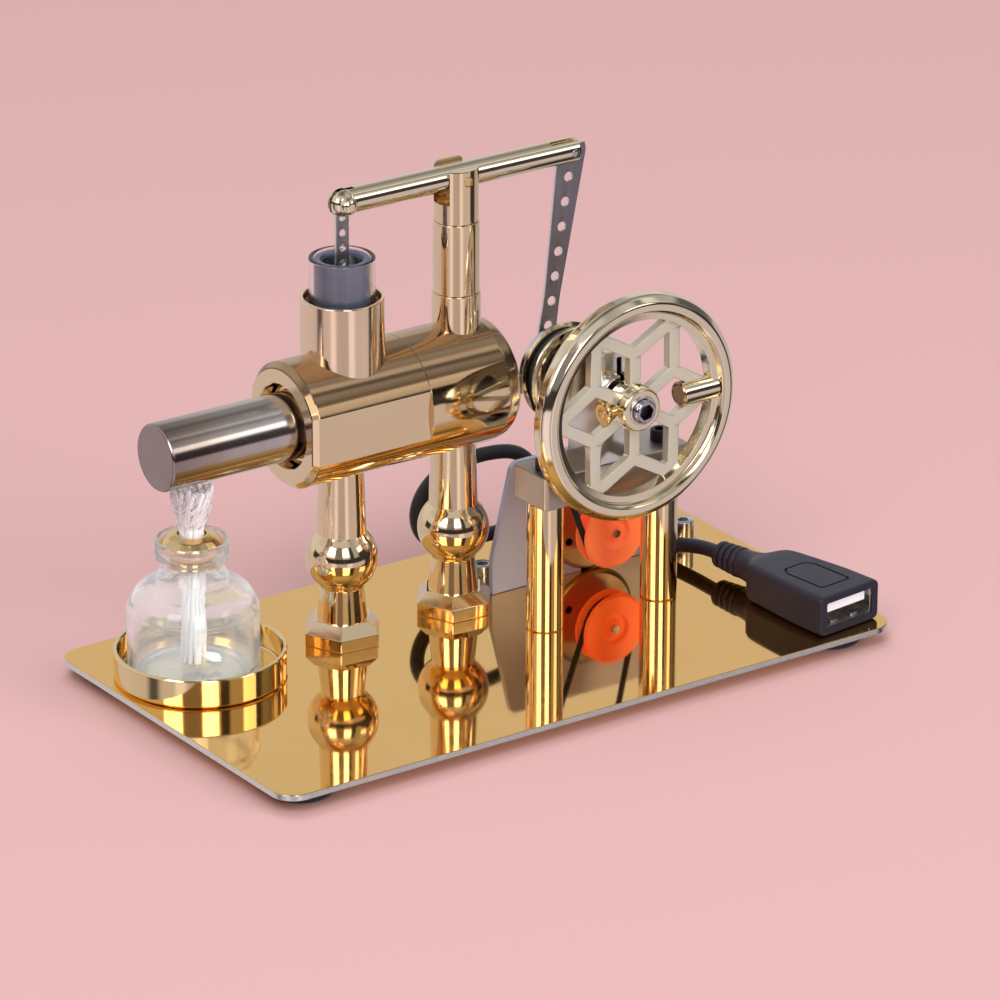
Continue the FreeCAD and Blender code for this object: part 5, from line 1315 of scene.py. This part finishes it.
def wick_strand(rng, phase, ring, twist, thickness):
    phase += rng.uniform(-0.18, 0.18)
    sway, sway_rate, drift = rng.uniform(0.05, 0.22), rng.uniform(8, 17), rng.uniform(0.0, 0.16)
    bottom, top = 3.1, rng.uniform(44.6, 46.1)
    path = []
    for k in range(64):
        u = k / 63
        height = bottom + (top - bottom) * u
        angle = phase + twist * 2 * pi * u * 1.6
        radius = ring * (1 - 0.08 * sin(pi * u))
        if height > FLARE_Z:
            flare = (height - FLARE_Z) / FLARE_HEIGHT
            radius += 2.4 * min(1, flare) ** 0.8 * (ring / 2.15) + 0.25 * sin(9 * u + phase)
            angle += 0.35 * flare
        if height < 9:
            radius += 0.3 * (9 - height) / 6 * (ring / 2.15)
        radius += sway * sin(sway_rate * u + phase * 3) * (1 if ring > 2 else 0.5)
        angle += drift * sin(11 * u + 5 * phase)
        path.append(in_bottle(radius, angle, height))
    return sweep(path, thickness, 9, taper=strand_taper)


def wick_tail(k):
    """One strand that bends over onto the floor of the bottle."""
    a = radians(-52 + 11 * k)
    path = [in_bottle(0.9, a, 6.5), in_bottle(2.6, a, 4.2),
            in_bottle(4.6, a * 0.8, 3.0 + 0.15 * k), in_bottle(6.4, a * 0.7, 2.9 + 0.3 * (k % 2))]
    return sweep(spline(path, 8), 0.55, 9, taper=lambda along: 1 - 0.5 * along * along)


def top_fibre(rng):
    phase, spread = rng.uniform(0, 2 * pi), rng.uniform(0.3, 1.0)
    bottom = rng.uniform(34.5, 40.5)
    top = min(46.2, bottom + rng.uniform(4.0, 9.5))
    twist, wave = rng.uniform(-0.5, 0.9), rng.uniform(0.1, 0.5)
    path = []
    for k in range(14):
        u = k / 13
        height = bottom + (top - bottom) * u
        flare = max(0.0, (height - FLARE_Z) / FLARE_HEIGHT)
        radius = (2.7 + 2.35 * min(1, flare) ** 0.8) * (0.55 + 0.5 * spread) + 0.4 * u
        path.append(in_bottle(min(radius, 5.6), phase + twist * u + wave * sin(5 * u + phase),
                              height))
    return sweep(path, 0.13, 5, taper=lambda along: 1 - 0.6 * along)


def side_fibre(rng):
    phase = rng.uniform(0, 2 * pi)
    bottom = rng.uniform(4, 33)
    rise = rng.uniform(3, 7)
    twist = rng.uniform(0.2, 1.0)
    return sweep([in_bottle(2.92 + 0.16 * sin(6 * k / 11 + phase), phase + twist * k / 11,
                            bottom + rise * k / 11) for k in range(12)], 0.10, 5)


def wick():
    rng = random.Random(11)
    parts = []
    # strands in the ring, ring radius, twist, strand radius
    for count, ring, twist, thickness in ((13, 2.25, 0.10, 0.66), (6, 1.05, -0.06, 0.80)):
        parts += [wick_strand(rng, 2 * pi * k / count, ring, twist, thickness)
                  for k in range(count)]
    parts += [wick_tail(k) for k in range(5)]
    parts += [top_fibre(rng) for _ in range(230)]
    parts += [side_fibre(rng) for _ in range(60)]
    return join(*parts)


piece("wick_finish", wick(), "wick_fibre", "burner_wick", normals=False, sharp=60)

# ---- slotted screws under the plate ----------------------------------------------------------------
BASE_SCREW = [(0, UNDERSIDE - 2.0), (2.2, UNDERSIDE - 2.0, 0.4), (2.7, UNDERSIDE - 1.3, 0.4),
              (2.7, UNDERSIDE - 0.01, 0.05), (1.45, UNDERSIDE - 0.01), (1.45, TOP + 8, 0.2),
              (0, TOP + 8)]
piece("base_screws_finish",
      join(*[turn(BASE_SCREW, 4, (x, y, 0), Z, 56) for x, y in LOWER_SCREWS]),
      "black_steel", "base_screws",
      cuts=[box(x - 3, x + 3, y - 0.35, y + 0.35, UNDERSIDE - 2.5, UNDERSIDE - 1.2)
            for x, y in LOWER_SCREWS])

# ---- CAD nodes: thin steel unless named here ---------------------------------------------------
NODE_LOOKS = {"displacer_plug": "brass", "displacer_fork_pin": "silver",
              "rod_guide_bush": "brass", "generator_magnets": "black_steel"}
for name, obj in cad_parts.items():
    obj.data.materials.clear()
    obj.data.materials.append(MATERIALS[NODE_LOOKS.get(name, "thin_steel")])


# ---- floor, camera, lights: positions in metres --------------------------------------------------
def build_floor():
    floor = raw("floor", box(-4000, 4000, -4000, 4000, -0.6, 0))
    mat = Material("floor_paint")
    mat.set(Base_Color=mat.mix(mat.noise(scale=1.4, detail=2.0), (0.505, 0.306, 0.303),
                               (0.515, 0.313, 0.310)),
            Roughness=0.9, Specular_IOR_Level=0.1)
    floor.data.materials.append(MATERIALS["floor_paint"])
    floor.visible_glossy = False


def build_camera():
    azimuth, elevation, roll = radians(-35.144517), radians(22.384208), radians(0.143809)
    target, distance = Vector((6.03733, 0, 38.5064)) * MM, 1486.4153 * MM
    level = Vector((cos(azimuth), sin(azimuth), 0))
    back = Vector((sin(azimuth) * cos(elevation), -cos(azimuth) * cos(elevation), sin(elevation)))
    rise = back.cross(level)
    right = level * cos(roll) + rise * sin(roll)
    up = rise * cos(roll) - level * sin(roll)
    place = target + back * distance
    data = bpy.data.cameras.new("camera")
    data.sensor_width, data.lens = 36.0, 230.4837
    data.clip_start, data.clip_end = 0.05, 30.0
    camera = bpy.data.objects.new("camera", data)
    bpy.context.scene.collection.objects.link(camera)
    camera.matrix_world = Matrix([(right[i], up[i], back[i], place[i]) for i in range(3)]
                                 + [(0, 0, 0, 1)])
    bpy.context.scene.camera = camera


def area_light(name, place, size, energy):
    """Rectangular light aimed just above the plate, unseen in reflections and glass."""
    data = bpy.data.lights.new(name, "AREA")
    data.shape, data.energy = "RECTANGLE", energy
    data.size, data.size_y = size
    light = bpy.data.objects.new(name, data)
    bpy.context.scene.collection.objects.link(light)
    light.location = place
    light.rotation_mode = "QUATERNION"
    aim = Vector((0, 0, 0.06)) - Vector(place)
    light.rotation_quaternion = aim.to_track_quat("-Z", "Y")
    light.visible_glossy = False
    light.visible_transmission = False


build_floor()
build_camera()
area_light("key", (-1.0, -0.9, 1.5), size=(1.0, 1.0), energy=27)
area_light("fill", (0.9, -1.4, 0.7), size=(1.2, 1.0), energy=21)
area_light("top", (0.1, 0.5, 1.8), size=(1.6, 1.6), energy=18)

# ---- world: a studio seen only in reflections, plain light otherwise -----------------------------
# (azimuth from the lens in degrees, brightness) below the horizon, just above it, and high up
BELOW = [(-180, 0.60), (-110, 0.66), (-74, 0.60), (-66, 0.10), (-58, 0.10), (-50, 0.60),
         (-33, 0.62), (-28, 0.95), (-19, 0.95), (-12, 0.52), (16, 0.50), (21, 0.95), (31, 0.95),
         (38, 0.60), (74, 0.62), (80, 0.04), (104, 0.05), (112, 0.5), (180, 0.60)]
ABOVE = [(-180, 0.68), (-130, 0.74), (-39, 0.70), (28, 0.55), (33, 0.10), (39, 0.12), (44, 0.45),
         (64, 0.42), (72, 0.05), (88, 0.05), (94, 0.24), (104, 0.22), (114, 0.10), (132, 0.12),
         (148, 0.60), (160, 0.68), (180, 0.68)]
HIGH = [(-180, 0.36), (-160, 0.42), (-135, 0.60), (-50, 0.66), (34, 0.60), (44, 0.40), (60, 0.46),
        (76, 0.62), (83, 0.50), (87, 0.18), (91, 0.18), (95, 0.85), (102, 0.80), (107, 0.40),
        (119, 0.50), (131, 0.33), (143, 0.38), (152, 0.20), (162, 0.24), (171, 0.40), (180, 0.36)]
# azimuth from, to, elevation from, to, brightness
DARK_CARDS = [(-20, 4, 8, 46, 0.24), (-20, 4, -4, 9, 0.04), (-100, 110, -4, 9, 0.04),
              (30, 40, 6, 44, 0.05), (60, 92, 4, 19, 0.05)]
SOFT_BOXES = [(-46, -23, 17, 42, 3.6), (6, 25, 17, 42, 4.2), (62, 80, 22, 33, 1.9)]


def build_world():
    world = bpy.data.worlds.new("studio")
    bpy.context.scene.world = world
    world.use_nodes = True
    world.cycles.sampling_method = "NONE"
    net = Nodes(world.node_tree)
    output = net.node("ShaderNodeOutputWorld")
    ray = net.split(net.node("ShaderNodeTexCoord").outputs["Generated"])
    elevation = net.calc("MULTIPLY", net.calc("ARCSINE", ray[2]), 180 / pi)
    azimuth = net.calc("MULTIPLY", net.calc("ARCTAN2", ray[1], ray[0]), 180 / pi)
    azimuth = net.calc("WRAP", net.calc("SUBTRACT", azimuth, -125.144517), 180.0, -180.0)
    elevation = net.calc("DIVIDE", net.calc("ADD", elevation, 90.0), 180.0)
    azimuth = net.calc("DIVIDE", net.calc("ADD", azimuth, 180.0), 360.0)

    def round_ramp(stops):
        return net.ramp(azimuth, [((angle + 180.0) / 360.0, value) for angle, value in stops])

    def rise_ramp(stops):
        return net.ramp(elevation, [((angle + 90.0) / 180.0, value) for angle, value in stops])

    def patch(left, right, low, high, value):
        """Rectangle of light with edges 1.5 degrees soft."""
        mask = net.calc(
            "MULTIPLY",
            round_ramp([(left - 1.5, 0.0), (left, 1.0), (right, 1.0), (right + 1.5, 0.0)]),
            rise_ramp([(low - 1.5, 0.0), (low, 1.0), (high, 1.0), (high + 1.5, 0.0)]))
        return net.calc("MULTIPLY", mask, value)

    below, above, high = round_ramp(BELOW), round_ramp(ABOVE), round_ramp(HIGH)
    high = net.calc("MULTIPLY", high, rise_ramp([(58, 1.0), (66, 0.62), (80, 0.30), (90, 0.25)]))
    upper = net.mix(rise_ramp([(25, 0.0), (30, 1.0)]), above, high)
    is_up = rise_ramp([(-1, 0.0), (1, 1.0)])
    room = net.mix(is_up, below, upper)
    for *limits, grey in DARK_CARDS:
        room = net.mix(patch(*limits, 1.0), room, (grey, grey * 0.92, grey * 0.95))
    first, second, third = [patch(*row) for row in SOFT_BOXES]
    boxes = net.calc("ADD", net.calc("ADD", first, second), third)
    room = net.mix(1.0, room, boxes, "ADD")
    tint = net.mix(is_up, (1.0, 0.88, 0.90), (1.0, 0.985, 0.955))
    room = net.mix(1.0, room, tint, "MULTIPLY")
    studio = net.made("ShaderNodeBackground", {0: room, 1: 1.0})
    plain = net.made("ShaderNodeBackground", {0: (1.0, 0.99, 0.985), 1: 0.52})
    glossy = net.node("ShaderNodeLightPath").outputs["Is Glossy Ray"]
    net.put(output.inputs[0], net.blend(glossy, plain, studio))


build_world()
view = bpy.context.scene.view_settings
view.view_transform = "Standard"
view.look = "None"
